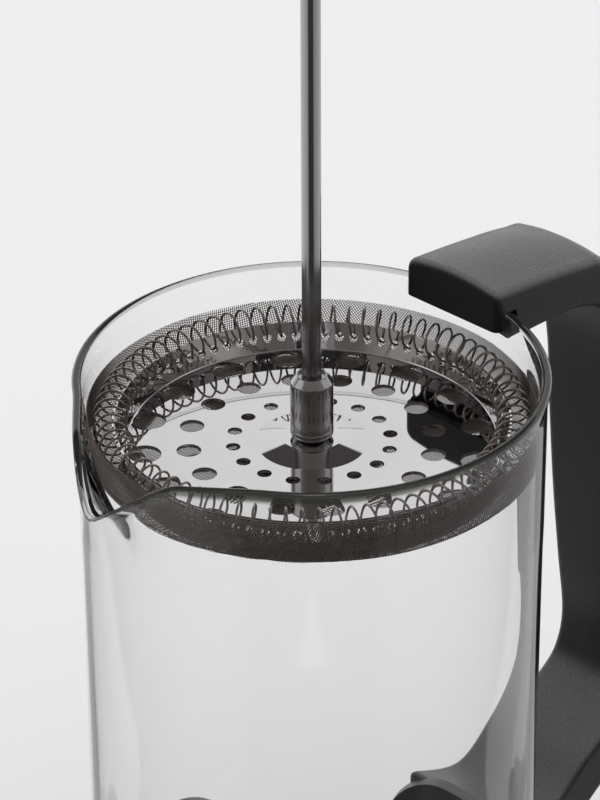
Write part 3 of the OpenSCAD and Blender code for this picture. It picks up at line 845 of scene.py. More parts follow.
class PRESS_OT_holder(Operator):
    """Moulds the holder: foot ring, four petals, and the handle that hooks over the rim"""

    bl_idname = "press.holder"
    bl_label = "Holder"

    def execute(self, context):
        h = settings().holder
        ledge = GLASS_FOOT - 0.0002
        out = h.bore + h.wall
        foot = lathe("foot", rounded([
            (h.bore - 0.0134, ledge - 0.0018), (out - 0.0065, ledge - 0.0018), (out - 0.007, 0),
            (out, 0), (out, h.foot), (h.bore, h.foot), (h.bore, ledge), (h.bore - 0.0134, ledge),
        ], [0.0006, 0.0006, 0.0004, 0.0012, 0.0008, 0.0008, 0.0008, 0.0006], 5), 192)
        parts = [foot, petal(h, h.handle_petal, 0.0)]
        parts += [petal(h, h.petal, math.radians(a)) for a in (90, 180, 270)]
        rows = through(handle_rows(h), 6)
        rings = [handle_ring(row) for row in rows]
        handle = skin("handle", rings)
        soften(handle, 0.0018, 4, 60)
        b = settings().beaker
        slot_in, slot_out = b.radius - b.wall - 0.0003, b.radius + b.flare + 0.0003
        w = h.width
        slot = lathe(
            "slot",
            [(slot_in, RIM - 0.012), (slot_out, RIM - 0.012), (slot_out, RIM + 0.0008), (slot_in, RIM + 0.0008)], 256,
        )
        cut(handle, slot)
        x = h.hook_x
        bite = skin("bite", [
            [(px * 1.0, y, RIM + pz) for px, pz in (
                (x - 0.004, -0.003), (x + 0.002, -0.003), (slot_in, -0.0057), (slot_in + 0.001, -0.012), (x - 0.004, -0.012))]
            for y in (-w, w)
        ])
        cut(handle, bite)
        soften(handle, 0.0004, 2, 55)
        parts.append(handle)
        piece = join("holder_moulding", parts)
        even_normals(piece, 50)
        # how far each point faces upward: the mask for the plastic's painted sheen
        upward = piece.data.attributes.new("upward", "FLOAT", "POINT")
        upward.data.foreach_set("value", [max(0.0, v.normal.z) for v in piece.data.vertices])
        tint, grain = settings().finish.plastic, settings().finish.grain
        stand_in(piece, "holder", "holder_plastic",
                 finish_of("Holder plastic", lambda n: plastic(n, tint, 0.36, 0.46, grain)), "holder")
        return {"FINISHED"}


# ---- filter ----


def dish_flat(f):
    """Radius of the dish's flat floor, and of its wall's upper inner edge."""
    top = f.edge - f.sheet * math.sin(f.slope)
    return top - f.rise / math.tan(f.slope), top


def dish_section(f, rod):
    """Outline of the pressed dish: raised crown, flat floor and steep wall, as (radius, height above the floor)."""
    flat, top = dish_flat(f)
    bore, t, h = rod + 0.0001, f.sheet, f.crown_rise
    return [
        (bore, h), (f.crown_top, h), (f.crown, 0), (flat, 0), (top, f.rise),
        (f.edge, f.rise - t * math.cos(f.slope)), (flat + t * math.tan(f.slope / 2), -t),
        (f.crown, -t), (f.crown_top, h - t), (bore, h - t),
    ]


def perforation_tree():
    """Cuts rings of round holes, and the lacing holes square through the sloping wall."""
    tree, gin, gout = geometry_tree("Perforations", [
        ("Holes", "NodeSocketInt", 16), ("Phase", "NodeSocketFloat", 0.0), ("Height", "NodeSocketFloat", 0.0),
        ("Outer Radius", "NodeSocketFloat", 0.0346), ("Pitch", "NodeSocketFloat", 0.00915),
        ("Small", "NodeSocketFloat", 0.003), ("Middle", "NodeSocketFloat", 0.0051), ("Large", "NodeSocketFloat", 0.007),
        ("Lacing Holes", "NodeSocketInt", 80), ("Lacing Radius", "NodeSocketFloat", 0.0385),
        ("Lacing Height", "NodeSocketFloat", 0.17), ("Lacing Hole", "NodeSocketFloat", 0.0019),
        ("Slope", "NodeSocketFloat", 0.59), ("Material", "NodeSocketMaterial", None),
    ])
    o = gin.outputs
    cutters = []
    for step, size in ((2, "Small"), (1, "Middle"), (0, "Large")):
        radius = maths(tree, "MULTIPLY_ADD", o["Pitch"], -float(step), o["Outer Radius"])
        ring = add(tree, "GeometryNodeMeshCircle", {"Vertices": o["Holes"], "Radius": radius})
        drill = add(
            tree, "GeometryNodeMeshCylinder",
            {"Vertices": 48, "Radius": maths(tree, "MULTIPLY", o[size], 0.5), "Depth": 0.012}, fill_type="NGON",
        )
        set_out = add(tree, "GeometryNodeInstanceOnPoints", {"Points": ring.outputs[0], "Instance": drill.outputs[0]})
        turned = add(tree, "GeometryNodeTransform", {
            "Geometry": set_out.outputs[0],
            "Translation": add(tree, "ShaderNodeCombineXYZ", {2: o["Height"]}).outputs[0],
            "Rotation": add(tree, "ShaderNodeCombineXYZ", {2: o["Phase"]}).outputs[0]})
        cutters.append(turned.outputs[0])
    ring = add(tree, "GeometryNodeMeshCircle", {"Vertices": o["Lacing Holes"], "Radius": o["Lacing Radius"]})
    drill = add(
        tree, "GeometryNodeMeshCylinder",
        {"Vertices": 20, "Radius": maths(tree, "MULTIPLY", o["Lacing Hole"], 0.5), "Depth": 0.0034}, fill_type="NGON",
    )
    index = add(tree, "GeometryNodeInputIndex").outputs[0]
    step = maths(tree, "DIVIDE", 2 * math.pi, o["Lacing Holes"])
    turn = add(
        tree, "ShaderNodeCombineXYZ",
        {1: maths(tree, "MULTIPLY", o["Slope"], -1.0), 2: maths(tree, "MULTIPLY", index, step)},
    )
    laced = add(
        tree, "GeometryNodeInstanceOnPoints",
        {"Points": ring.outputs[0], "Instance": drill.outputs[0], "Rotation": turn.outputs[0]},
    )
    lifted = add(tree, "GeometryNodeTransform", {
        "Geometry": laced.outputs[0], "Translation": add(tree, "ShaderNodeCombineXYZ", {2: o["Lacing Height"]}).outputs[0]})
    rings = tree.nodes.new("GeometryNodeJoinGeometry")
    for drill in cutters:
        tree.links.new(drill, rings.inputs[0])
    work = o["Geometry"]
    for drills in (rings, lifted):
        solid = add(tree, "GeometryNodeRealizeInstances", {0: drills.outputs[0]})
        knife = add(
            tree, "GeometryNodeMeshBoolean", {"Mesh 1": work, "Mesh 2": solid.outputs[0]}, operation="DIFFERENCE",
            solver="EXACT",
        )
        work = knife.outputs[0]
    real = add(tree, "GeometryNodeRealizeInstances", {0: work})
    dressed = add(tree, "GeometryNodeSetMaterial", {"Geometry": real.outputs[0], "Material": o["Material"]})
    tree.links.new(dressed.outputs[0], gout.inputs[0])
    return tree


def filter_places(s):
    """The spring's coil radius, the centre of its coils, and where the wire passes the dish's wall."""
    f = s.filter
    coil_r = (f.coil - f.wire) / 2
    coil = Vector((f.screen - 0.00035 - 0.00066 - f.coil / 2, DISH_EDGE - 0.00013))
    along = Vector((math.cos(f.slope), math.sin(f.slope)))
    middle = Vector((dish_flat(f)[1] + f.sheet / 2 * along.y, DISH_EDGE - f.sheet / 2 * along.x))
    off = coil - middle
    lacing = middle + (off.dot(along) - math.sqrt(coil_r ** 2 - along.cross(off) ** 2)) * along
    return coil_r, coil, lacing


class PRESS_OT_filter_dish(Operator):
    """Presses and perforates the polished dish, with its lacing holes"""

    bl_idname = "press.filter_dish"
    bl_label = "Filter dish"

    def execute(self, context):
        s = settings()
        f = s.filter
        floor = DISH_EDGE - f.rise
        _, _, lacing = filter_places(s)
        outline = [(r, z + floor) for r, z in dish_section(f, s.plunger.rod)]
        radii = [0.0002, 0.004, 0.003, 0.0005, 0.0002, 0.0002, 0.0017, 0.003, 0.004, 0.0002]
        dish = lathe("filter_dish_steel", rounded(outline, radii, 4), 192)
        tint = s.finish.steel
        metal = finish_of("Mirror steel", lambda n: steel(n, tint, 0.015, 0.03, s.finish.wear, ring_vector, 0.0))
        run_tree(dish, perforation_tree(), {
            "Holes": f.ring_holes, "Phase": f.ring_phase, "Height": floor, "Outer Radius": dish_flat(
                f
            )[0] - f.hole_large / 2 - 0.0001,
            "Pitch": f.ring_pitch, "Small": f.hole_small, "Middle": f.hole_middle, "Large": f.hole_large,
            "Lacing Holes": f.coils, "Lacing Radius": lacing.x, "Lacing Height": lacing.y,
            "Lacing Hole": f.lacing_hole, "Slope": f.slope, "Material": metal})
        even_normals(dish, 35)
        stand_in(dish, "plunger", "dish_steel", metal, "filter_dish")
        return {"FINISHED"}


def spring_tree():
    """A wire coiled round a ring: one pass of the wire through each lacing hole."""
    tree, gin, gout = geometry_tree("Laced spring", [
        ("Coils", "NodeSocketInt", 80), ("Steps", "NodeSocketInt", 36), ("Ring Radius", "NodeSocketFloat", 0.0413),
        ("Height", "NodeSocketFloat", 0.17), (
            "Coil Radius", "NodeSocketFloat", 0.0034,
        ), ("Wire", "NodeSocketFloat", 0.0005),
        ("Start", "NodeSocketFloat", 3.7), ("Uneven", "NodeSocketFloat", 0.00012), ("Seed", "NodeSocketInt", 4),
        ("Material", "NodeSocketMaterial", None),
    ])
    o = gin.outputs
    count = maths(tree, "MULTIPLY", o["Coils"], o["Steps"])
    line = add(tree, "GeometryNodeCurvePrimitiveCircle", {"Resolution": count, "Radius": 1.0}, mode="RADIUS")
    index = add(tree, "GeometryNodeInputIndex").outputs[0]
    t = maths(tree, "DIVIDE", index, o["Steps"])
    around = maths(tree, "MULTIPLY", t, maths(tree, "DIVIDE", 2 * math.pi, o["Coils"]))
    turn = maths(tree, "MULTIPLY_ADD", t, -2 * math.pi, o["Start"])
    ring = add(tree, "ShaderNodeCombineXYZ", {0: maths(tree, "COSINE", around), 1: maths(tree, "SINE", around)})
    noise = add(
        tree, "ShaderNodeTexNoise", {"Vector": ring.outputs[0], "W": o["Seed"], "Scale": 14.0, "Detail": 1.0},
        noise_dimensions="4D",
    )
    sway = maths(tree, "MULTIPLY", maths(tree, "SUBTRACT", noise.outputs[0], 0.5), o["Uneven"])
    lean = maths(
        tree, "MULTIPLY",
        maths(tree, "SUBTRACT", 1.0, maths(tree, "COSINE", maths(tree, "SUBTRACT", turn, o["Start"]))), sway,
    )
    radius = maths(tree, "MULTIPLY_ADD", o["Coil Radius"], maths(tree, "COSINE", turn), o["Ring Radius"])
    height = maths(tree, "MULTIPLY_ADD", o["Coil Radius"], maths(tree, "SINE", turn), o["Height"])
    swung = maths(tree, "ADD", around, maths(tree, "MULTIPLY", lean, 40.0))
    place = add(tree, "ShaderNodeCombineXYZ", {
        0: maths(tree, "MULTIPLY", radius, maths(tree, "COSINE", swung)),
        1: maths(tree, "MULTIPLY", radius, maths(tree, "SINE", swung)), 2: height})
    path = add(tree, "GeometryNodeSetPosition", {"Geometry": line.outputs[0], "Position": place.outputs[0]})
    wire = add(
        tree, "GeometryNodeCurvePrimitiveCircle", {"Resolution": 8, "Radius": maths(tree, "MULTIPLY", o["Wire"], 0.5)},
        mode="RADIUS",
    )
    body = add(tree, "GeometryNodeCurveToMesh", {"Curve": path.outputs[0], "Profile Curve": wire.outputs[0]})
    real = add(tree, "GeometryNodeRealizeInstances", {0: body.outputs[0]})
    dressed = add(tree, "GeometryNodeSetMaterial", {"Geometry": real.outputs[0], "Material": o["Material"]})
    tree.links.new(dressed.outputs[0], gout.inputs[0])
    return tree


class PRESS_OT_coil_spring(Operator):
    """Winds the coil spring that is laced round the dish's edge"""

    bl_idname = "press.coil_spring"
    bl_label = "Coil spring"

    def execute(self, context):
        s = settings()
        coil_r, coil, lacing = filter_places(s)
        start = math.atan2(lacing.y - coil.y, lacing.x - coil.x)
        tint = s.finish.wire
        metal = finish_of("Spring wire", lambda n: steel(n, tint, 0.22, 0.12, 0.1, object_vector, 0.15))
        piece = new_piece("coil_spring_wire", [(0, 0, 0)], [])
        run_tree(piece, spring_tree(), {
            "Coils": s.filter.coils, "Steps": 36, "Ring Radius": coil.x, "Height": coil.y, "Coil Radius": coil_r,
            "Wire": s.filter.wire, "Start": start, "Uneven": 0.00025, "Seed": 4, "Material": metal})
        turn_outwards(piece)
        shade(piece, 180)
        stand_in(piece, "plunger", "spring_steel", metal, "coil_spring")
        return {"FINISHED"}


def woven_tree():
    """Two sets of crossing wires, laid flat and turned up into a skirt at the fold."""
    tree, gin, gout = geometry_tree("Woven screen", [
        ("Wires", "NodeSocketInt", 240), ("Pitch", "NodeSocketFloat", 0.00045), ("Wire", "NodeSocketFloat", 0.00017),
        ("Fold Radius", "NodeSocketFloat", 0.044), ("Edge Radius", "NodeSocketFloat", 0.0535),
        ("Hole Radius", "NodeSocketFloat", 0.013), ("Heel", "NodeSocketFloat", 0.0016),
        ("Height", "NodeSocketFloat", 0.165), ("Turn", "NodeSocketFloat", 0.3), ("Steps", "NodeSocketInt", 40),
        ("Material", "NodeSocketMaterial", None),
    ])
    o = gin.outputs
    sets = []
    for quarter, lift in ((0.0, 0.35), (math.pi / 2, -0.35)):
        line = add(
            tree, "GeometryNodeMeshLine", {"Count": o["Wires"], "Start Location": (0, 0, 0), "Offset": (0, 0, 0)},
            mode="OFFSET",
        )
        one = add(
            tree, "GeometryNodeMeshLine", {"Count": o["Steps"], "Start Location": (0, 0, 0), "Offset": (0, 0, 0)},
            mode="OFFSET",
        )
        many = add(tree, "GeometryNodeInstanceOnPoints", {"Points": line.outputs[0], "Instance": one.outputs[0]})
        real = add(tree, "GeometryNodeRealizeInstances", {0: many.outputs[0]})
        index = add(tree, "GeometryNodeInputIndex").outputs[0]
        row = maths(tree, "FLOOR", maths(tree, "DIVIDE", maths(tree, "ADD", index, 0.5), o["Steps"]))
        step = maths(tree, "SUBTRACT", index, maths(tree, "MULTIPLY", row, o["Steps"]))
        middle = maths(tree, "MULTIPLY", maths(tree, "SUBTRACT", o["Wires"], 1.0), 0.5)
        across = maths(tree, "MULTIPLY", maths(tree, "SUBTRACT", row, middle), o["Pitch"])
        edge_square = maths(tree, "MULTIPLY", o["Edge Radius"], o["Edge Radius"])
        half_square = maths(tree, "SUBTRACT", edge_square, maths(tree, "MULTIPLY", across, across))
        chord = maths(tree, "SQRT", maths(tree, "MAXIMUM", 1e-8, half_square))
        u = maths(
            tree, "MULTIPLY_ADD", maths(tree, "DIVIDE", step, maths(tree, "SUBTRACT", o["Steps"], 1.0)), 2.0, -1.0,
        )
        spread = maths(tree, "SINE", maths(tree, "MULTIPLY", u, math.pi / 2))
        along = maths(tree, "MULTIPLY", spread, chord)
        flat = add(tree, "ShaderNodeCombineXYZ", {0: along, 1: across})
        spun = add(
            tree, "ShaderNodeVectorRotate",
            {"Vector": flat.outputs[0], "Angle": maths(tree, "ADD", o["Turn"], quarter)},
            rotation_type="Z_AXIS",
        )
        size = add(tree, "ShaderNodeVectorMath", {0: spun.outputs[0]}, operation="LENGTH").outputs["Value"]
        unit = add(tree, "ShaderNodeVectorMath", {0: spun.outputs[0]}, operation="NORMALIZE")
        bend = maths(tree, "MULTIPLY", o["Heel"], math.pi / 2)
        over = maths(tree, "MAXIMUM", 0.0, maths(tree, "SUBTRACT", size, o["Fold Radius"]))
        sweep = maths(tree, "DIVIDE", maths(tree, "MINIMUM", over, bend), o["Heel"])
        beyond = maths(tree, "MAXIMUM", 0.0, maths(tree, "SUBTRACT", over, bend))
        layer = maths(tree, "MULTIPLY", o["Wire"], lift)
        reach = maths(tree, "SUBTRACT", o["Heel"], layer)
        radius = maths(
            tree, "ADD", maths(tree, "MINIMUM", size, o["Fold Radius"]),
            maths(tree, "MULTIPLY", reach, maths(tree, "SINE", sweep)),
        )
        rise = maths(tree, "SUBTRACT", o["Heel"], maths(tree, "MULTIPLY", reach, maths(tree, "COSINE", sweep)))
        up = maths(tree, "ADD", maths(tree, "ADD", rise, beyond), o["Height"])
        level = add(tree, "ShaderNodeCombineXYZ", {2: up})
        outward = add(tree, "ShaderNodeVectorMath", {0: unit.outputs[0], "Scale": radius}, operation="SCALE")
        spot = add(tree, "ShaderNodeVectorMath", {0: outward.outputs[0], 1: level.outputs[0]}, operation="ADD")
        placed = add(tree, "GeometryNodeSetPosition", {"Geometry": real.outputs[0], "Position": spot.outputs[0]})
        sets.append(placed.outputs[0])
    both = tree.nodes.new("GeometryNodeJoinGeometry")
    for wires in sets:
        tree.links.new(wires, both.inputs[0])
    where = add(tree, "GeometryNodeInputPosition").outputs[0]
    parts = add(tree, "ShaderNodeSeparateXYZ", {0: where})
    flat = add(tree, "ShaderNodeCombineXYZ", {0: parts.outputs[0], 1: parts.outputs[1]})
    size = add(tree, "ShaderNodeVectorMath", {0: flat.outputs[0]}, operation="LENGTH").outputs["Value"]
    inside = add(tree, "FunctionNodeCompare", {0: size, 1: o["Hole Radius"]}, data_type="FLOAT", operation="LESS_THAN")
    ringed = add(
        tree, "GeometryNodeDeleteGeometry", {"Geometry": both.outputs[0], "Selection": inside.outputs[0]},
        domain="POINT",
    )
    curve = add(tree, "GeometryNodeMeshToCurve", {0: ringed.outputs[0]})
    section = add(
        tree, "GeometryNodeCurvePrimitiveCircle", {"Resolution": 3, "Radius": maths(tree, "MULTIPLY", o["Wire"], 0.5)},
        mode="RADIUS",
    )
    body = add(
        tree, "GeometryNodeCurveToMesh",
        {"Curve": curve.outputs[0], "Profile Curve": section.outputs[0], "Fill Caps": True},
    )
    done = add(tree, "GeometryNodeRealizeInstances", {0: body.outputs[0]})
    dressed = add(tree, "GeometryNodeSetMaterial", {"Geometry": done.outputs[0], "Material": o["Material"]})
    tree.links.new(dressed.outputs[0], gout.inputs[0])
    return tree


class PRESS_OT_screen(Operator):
    """Weaves the fine screen from crossing wires, and turns up its skirt"""

    bl_idname = "press.screen"
    bl_label = "Woven screen"

    def execute(self, context):
        s = settings()
        f = s.filter
        heel = 0.0016
        fold = f.screen - heel
        edge = fold + heel * math.pi / 2 + f.skirt - heel
        tint = s.finish.weave
        metal = finish_of("Woven steel", lambda n: steel(n, tint, 0.35, 0.1, 0.1, object_vector))
        piece = new_piece("screen_weave", [(0, 0, 0)], [])
        wires = int(2 * edge / f.mesh_pitch) - 1
        run_tree(piece, woven_tree(), {
            "Wires": wires, "Pitch": f.mesh_pitch, "Wire": f.mesh_wire, "Fold Radius": fold, "Edge Radius": edge,
            "Hole Radius": f.crown + 0.0011, "Heel": heel, "Height": SCREEN_LOW + f.mesh_wire, "Turn": -0.35,
            "Steps": 44, "Material": metal})
        shade(piece, 180)
        stand_in(piece, "plunger", "screen_steel", metal, "screen")
        return {"FINISHED"}


# ---- rod and hub ----


class PRESS_OT_plunger(Operator):
    """Turns the rod, the hub sleeve and its collar"""

    bl_idname = "press.plunger"
    bl_label = "Rod and hub"

    def execute(self, context):
        s = settings()
        tint = s.finish.steel
        rod_r, hub = s.plunger.rod, s.plunger.hub
        bore = rod_r + 0.00005
        drawn = finish_of(
            "Drawn rod",
            lambda n: steel(
                n, tuple(c * 0.85 for c in tint), 0.10, 0.08, 0.3, lambda t: object_vector(t, (1.0, 1.0, 0.03)), 0.12,
            ),
        )
        turned = finish_of(
            "Turned steel", lambda n: steel(n, tuple(c * 0.6 for c in tint), 0.14, 0.06, 0.3, ring_vector, 0.05),
        )
        rod = lathe(
            "rod_steel",
            rounded([(0, ROD_LOW), (rod_r, ROD_LOW), (rod_r, ROD_TOP), (0, ROD_TOP)], [0, 0.0004, 0.0004, 0], 4), 64,
        )
        even_normals(rod, 50)
        stand_in(rod, "plunger", "rod_steel", drawn, "rod")
        low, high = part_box("hub_sleeve")[0].z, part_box("hub_sleeve")[1].z
        sleeve = lathe("hub_sleeve_steel", rounded(
            [
                (bore, low), (hub, low), (hub, high - 0.0016), (hub - 0.0013, high), (bore + 0.00084, high),
                (bore + 0.00065, high - 0.0007), (bore, high - 0.0007),
            ],
            [0.0002, 0.0003, 0.0004, 0.0003, 0.0002, 0.0002, 0.0001], 4), 96)
        even_normals(sleeve, 50)
        stand_in(sleeve, "plunger", "hub_steel", turned, "hub_sleeve")
        low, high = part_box("hub_collar")[0].z + 0.0002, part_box("hub_collar")[1].z
        collar = lathe("hub_collar_steel", rounded(
            [(bore, low), (hub - 0.0011, low), (hub, low + 0.001), (hub, high), (bore, high)],
            [0.0001, 0.0002, 0.0003, 0.0004, 0.0001], 4), 96)
        even_normals(collar, 50)
        stand_in(collar, "plunger", "hub_steel", turned, "hub_collar")
        return {"FINISHED"}


class PRESS_OT_finishes(Operator):
    """Gives each CAD node that is kept its own finish"""

    bl_idname = "press.finishes"
    bl_label = "Finishes of the kept nodes"

    def execute(self, context):
        s = settings()
        tint = tuple(s.finish.steel)
        black = finish_of(
            "Lid plastic", lambda n: plastic(n, s.finish.plastic, 0.30, 0.42, s.finish.grain * 0.6, 2200.0),
        )
        lining = finish_of("Liner plastic", lambda n: plastic(n, s.finish.lining, 0.42, 0.55, s.finish.grain, 1800.0))
        knob = finish_of(
            "Knob plastic", lambda n: plastic(n, s.finish.plastic, 0.22, 0.34, s.finish.grain * 0.4, 2400.0),
        )
        bush = finish_of("Bush steel", lambda n: steel(n, tint, 0.14, 0.06, 0.3, ring_vector, 0.08))
        plate = finish_of(
            "Plate steel", lambda n: steel(n, tuple(c * 0.9 for c in tint), 0.12, 0.08, 0.4, ring_vector, 0.05),
        )
        clip = finish_of(
            "Clip steel", lambda n: steel(n, tuple(c * 0.6 for c in tint), 0.3, 0.1, 0.2, object_vector, 0.1),
        )
        brass = finish_of("Insert brass", lambda n: steel(n, s.finish.brass, 0.25, 0.1, 0.2, ring_vector, 0.1))
        nodes = frame["nodes"]
        for name, material in (
            ("lid_dome", black), ("lid_liner", lining), ("knob", knob), ("guide_bush", bush), ("bush_clip", clip),
            ("spoked_plate", plate), ("clamp_boss", plate), ("knob_insert", brass),
        ):
            node = nodes[name]
            node.data.materials.clear()
            node.data.materials.append(material)
        return {"FINISHED"}


# ---- stage ----


def soft_light(name, place, target, size, power):
    """A large square light that faces its target."""
    lamp = bpy.data.lights.new(name, "AREA")
    lamp.shape = "RECTANGLE"
    lamp.size, lamp.size_y = size
    lamp.energy = power
    holder = bpy.data.objects.new(name, lamp)
    facing = (Vector(target) - Vector(place)).to_track_quat("-Z", "Y")
    holder.matrix_world = Matrix.Translation(place) @ facing.to_matrix().to_4x4()
    bpy.context.scene.collection.objects.link(holder)
    return holder


def studio_world(fill):
    """Pale surroundings. Only reflections see the dark room above and behind the camera."""
    world = bpy.data.worlds.new("Studio")
    world.use_nodes = True
    tree = world.node_tree
    tree.nodes.clear()
    where = tree.nodes.new("ShaderNodeTexCoord")
    parts = add(tree, "ShaderNodeSeparateXYZ", {0: where.outputs["Generated"]})
    x, y, z = parts.outputs
    heading = settings().stage.heading
    ahead = maths(
        tree, "ADD", maths(tree, "MULTIPLY", x, math.cos(heading)), maths(tree, "MULTIPLY", y, math.sin(heading)),
    )
    angle_up = maths(tree, "ARCTAN2", z, ahead)
    # the room's tones, by the angle from straight ahead up and over the camera
    dark = ramp(tree, angle_up, math.radians(37.4), math.radians(38.8), smooth=True)
    above = ramp(tree, angle_up, math.radians(66), math.radians(104))
    room = blend(tree, above, (0.075, 0.066, 0.072, 1.0), (0.27, 0.245, 0.235, 1.0))
    behind = ramp(tree, angle_up, math.radians(125), math.radians(165))
    room = blend(tree, behind, room, (0.135, 0.122, 0.115, 1.0))
    across = maths(
        tree, "SUBTRACT", maths(tree, "MULTIPLY", x, math.sin(heading)), maths(tree, "MULTIPLY", y, math.cos(heading)),
    )
    edge = ramp(tree, maths(tree, "ABSOLUTE", across), 0.45, 0.75)
    low = ramp(tree, z, 0.56, 0.66, 1.0, 0.0)
    edge = maths(tree, "MULTIPLY", edge, low)
    room = blend(tree, edge, room, (0.32, 0.30, 0.29, 1.0))
    # the pale wall's tones, by the angle to either side of the camera, with a bright strip low down
    aside = maths(tree, "ARCTAN2", across, maths(tree, "MULTIPLY", ahead, -1.0))
    left = ramp(tree, aside, math.radians(-60), math.radians(-20), 0.14, 0.0)
    aside = maths(tree, "ABSOLUTE", aside)
    side = ramp(tree, aside, math.radians(40), math.radians(130), 0.32, 0.67)
    ground = maths(tree, "ADD", side, left)
    below = ramp(tree, z, -0.35, -0.02)
    strip = ramp(tree, angle_up, math.radians(8), math.radians(13), 1.7, 1.0, smooth=True)
    back = blend(tree, below, ground, strip)
    tone = blend(tree, dark, back, room)
    path = tree.nodes.new("ShaderNodeLightPath")
    # light reflected once and then let out through the glass counts only where it comes back at the camera
    returned = ramp(tree, ahead, -0.6, -0.75)
    through = maths(tree, "MULTIPLY", returned, maths(tree, "GREATER_THAN", path.outputs["Glossy Depth"], 0.5))
    through = maths(tree, "MULTIPLY", through, maths(tree, "LESS_THAN", path.outputs["Transmission Depth"], 2.5))
    piped = maths(tree, "MULTIPLY", maths(tree, "GREATER_THAN", path.outputs["Glossy Depth"], 1.5), TRAPPED_SHARE)
    seen = maths(tree, "MAXIMUM", path.outputs["Is Glossy Ray"], maths(tree, "MAXIMUM", through, piped))
    seen = maths(tree, "MULTIPLY", seen, maths(tree, "SUBTRACT", 1.0, path.outputs["Is Diffuse Ray"]))
    pick = blend(tree, seen, (1.0, 1.0, 1.0, 1.0), tone)
    glow = add(tree, "ShaderNodeBackground", {"Color": pick, "Strength": fill})
    out = tree.nodes.new("ShaderNodeOutputWorld")
    tree.links.new(glow.outputs[0], out.inputs["Surface"])
    bpy.context.scene.world = world


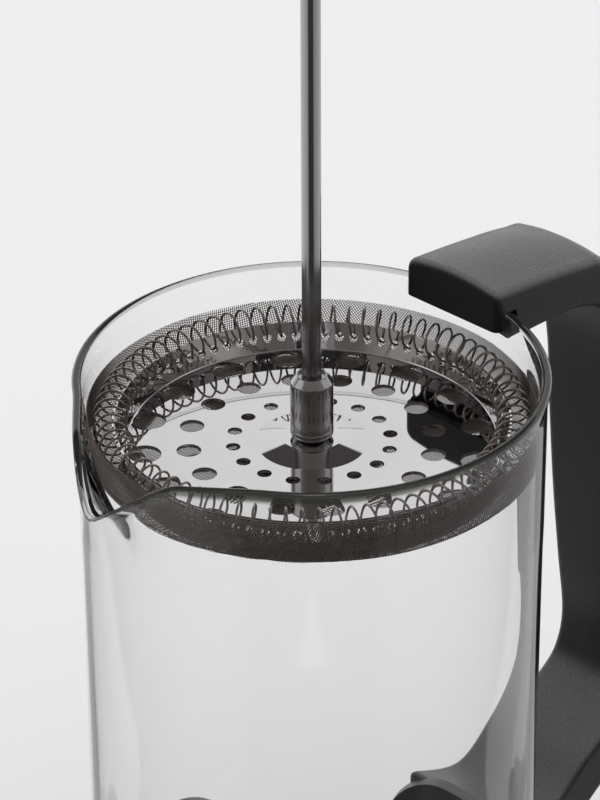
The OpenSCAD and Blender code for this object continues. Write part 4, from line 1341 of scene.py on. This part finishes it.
class PRESS_OT_stage(Operator):
    """Sets the camera, the pale floor and the soft studio light"""

    bl_idname = "press.stage"
    bl_label = "Camera, floor and light"

    def execute(self, context):
        g = settings().stage
        ahead = Vector(
            (math.cos(g.heading) * math.cos(g.pitch), math.sin(g.heading) * math.cos(g.pitch), -math.sin(g.pitch))
        )
        right = Vector((math.sin(g.heading), -math.cos(g.heading), 0.0))
        up = right.cross(ahead)
        c, s = math.cos(g.roll), math.sin(g.roll)
        right, up = c * right + s * up, c * up - s * right
        lens = bpy.data.cameras.new("Camera")
        lens.lens = g.lens
        lens.sensor_width = 36.0
        lens.shift_x, lens.shift_y = LENS_SHIFT
        lens.clip_start, lens.clip_end = 0.05, 20.0
        camera = bpy.data.objects.new("Camera", lens)
        turn = Matrix((right, up, -ahead)).transposed().to_4x4()
        camera.matrix_world = Matrix.Translation(Vector(g.eye)) @ turn
        context.scene.collection.objects.link(camera)
        context.scene.camera = camera
        aim = Vector((math.cos(g.heading), math.sin(g.heading), 0.0))
        side = Vector((aim.y, -aim.x, 0.0))
        floor = new_piece("studio_floor", [(-4, -4, 0), (4, -4, 0), (4, 4, 0), (-4, 4, 0)], [(0, 1, 2, 3)])
        material, tree, shader = blank_material("Pale floor")
        path = tree.nodes.new("ShaderNodeLightPath")
        here = add(tree, "ShaderNodeSeparateXYZ", {"Vector": object_vector(tree)})
        depth = maths(tree, "MULTIPLY_ADD", here.outputs["X"], aim.x, maths(tree, "MULTIPLY", here.outputs["Y"], aim.y))
        across = maths(
            tree, "MULTIPLY_ADD", here.outputs["X"], side.x, maths(tree, "MULTIPLY", here.outputs["Y"], side.y),
        )
        wide = maths(tree, "MULTIPLY_ADD", depth, -FLANK_SLOPE, maths(tree, "ABSOLUTE", across))
        # painted reflection: only light that the glass has turned back inside its wall sees the floor's flanks painted
        # dark
        painted_flank_mask = ramp(tree, wide, *FLANK_EDGE)
        far = maths(tree, "MULTIPLY", painted_flank_mask, maths(tree, "MINIMUM", path.outputs["Glossy Depth"], 1.0))
        paint = blend(tree, far, (*g.backdrop, 1.0), (0.08, 0.078, 0.076, 1.0))
        tree.links.new(paint, shader.inputs["Base Color"])
        shader.inputs["Roughness"].default_value = 0.9
        shader.inputs["Specular IOR Level"].default_value = 0.1
        floor.data.materials.append(material)
        floor.visible_glossy = False
        lift = Vector((0, 0, 0.002))
        # a dark card that only reflections see, a painted reflection of dark surroundings; the camera, diffuse light
        # and shadows pass it by
        cloth, tree, shader = blank_material("Card cloth")
        shader.inputs["Base Color"].default_value = (0.05, 0.046, 0.045, 1.0)
        shader.inputs["Roughness"].default_value = 1.0
        shader.inputs["Specular IOR Level"].default_value = 0.0
        card = new_piece(
            "studio_card",
            [
                lift + out * aim + turn * side for out, turn in (
                    (-0.16, -0.09), (-1.3, -0.73), (-1.3, 0.73), (-0.16, 0.09),
                )
            ],
            [(0, 1, 2, 3)],
        )
        card.data.materials.append(cloth)
        for ray in (
            "visible_camera", "visible_diffuse", "visible_transmission", "visible_volume_scatter", "visible_shadow",
        ):
            setattr(card, ray, False)
        soft_light("Window left", (-0.9, 0.7, 0.8), (0, 0, 0.15), (0.8, 0.8), 1.2)
        soft_light("Window right", (0.9, -0.8, 0.9), (0, 0, 0.15), (0.8, 0.8), 0.8)
        studio_world(g.fill)
        context.scene.view_settings.view_transform = "Standard"
        return {"FINISHED"}


class PRESS_PT_panel(Panel):
    """Lists what the press is built from"""

    bl_idname = "PRESS_PT_panel"
    bl_label = "French press"
    bl_space_type = "VIEW_3D"
    bl_region_type = "UI"
    bl_category = "Press"

    def draw(self, context):
        for step in STEPS:
            self.layout.operator(step.bl_idname)
        for name in ("beaker", "holder", "filter", "plunger", "finish", "stage"):
            group = getattr(context.scene.press_settings, name)
            box = self.layout.box()
            box.label(text=name.title())
            for prop in group.bl_rna.properties:
                if prop.identifier not in {"rna_type", "name"}:
                    box.prop(group, prop.identifier)


GROUPS = (BeakerSizes, HolderSizes, FilterSizes, PlungerSizes, Finishes, StageSettings, PressSettings)
STEPS = (
    PRESS_OT_stage, PRESS_OT_finishes, PRESS_OT_beaker, PRESS_OT_holder, PRESS_OT_plunger,
    PRESS_OT_filter_dish, PRESS_OT_coil_spring, PRESS_OT_screen,
)


def register():
    for kind in GROUPS + STEPS + (PRESS_PT_panel,):
        bpy.utils.register_class(kind)
    bpy.types.Scene.press_settings = PointerProperty(type=PressSettings)


def unregister():
    del bpy.types.Scene.press_settings
    for kind in reversed(GROUPS + STEPS + (PRESS_PT_panel,)):
        bpy.utils.unregister_class(kind)


def main():
    register()
    for step in STEPS:
        group, name = step.bl_idname.split(".")
        getattr(getattr(bpy.ops, group), name)()


if __name__ == "__main__":
    main()
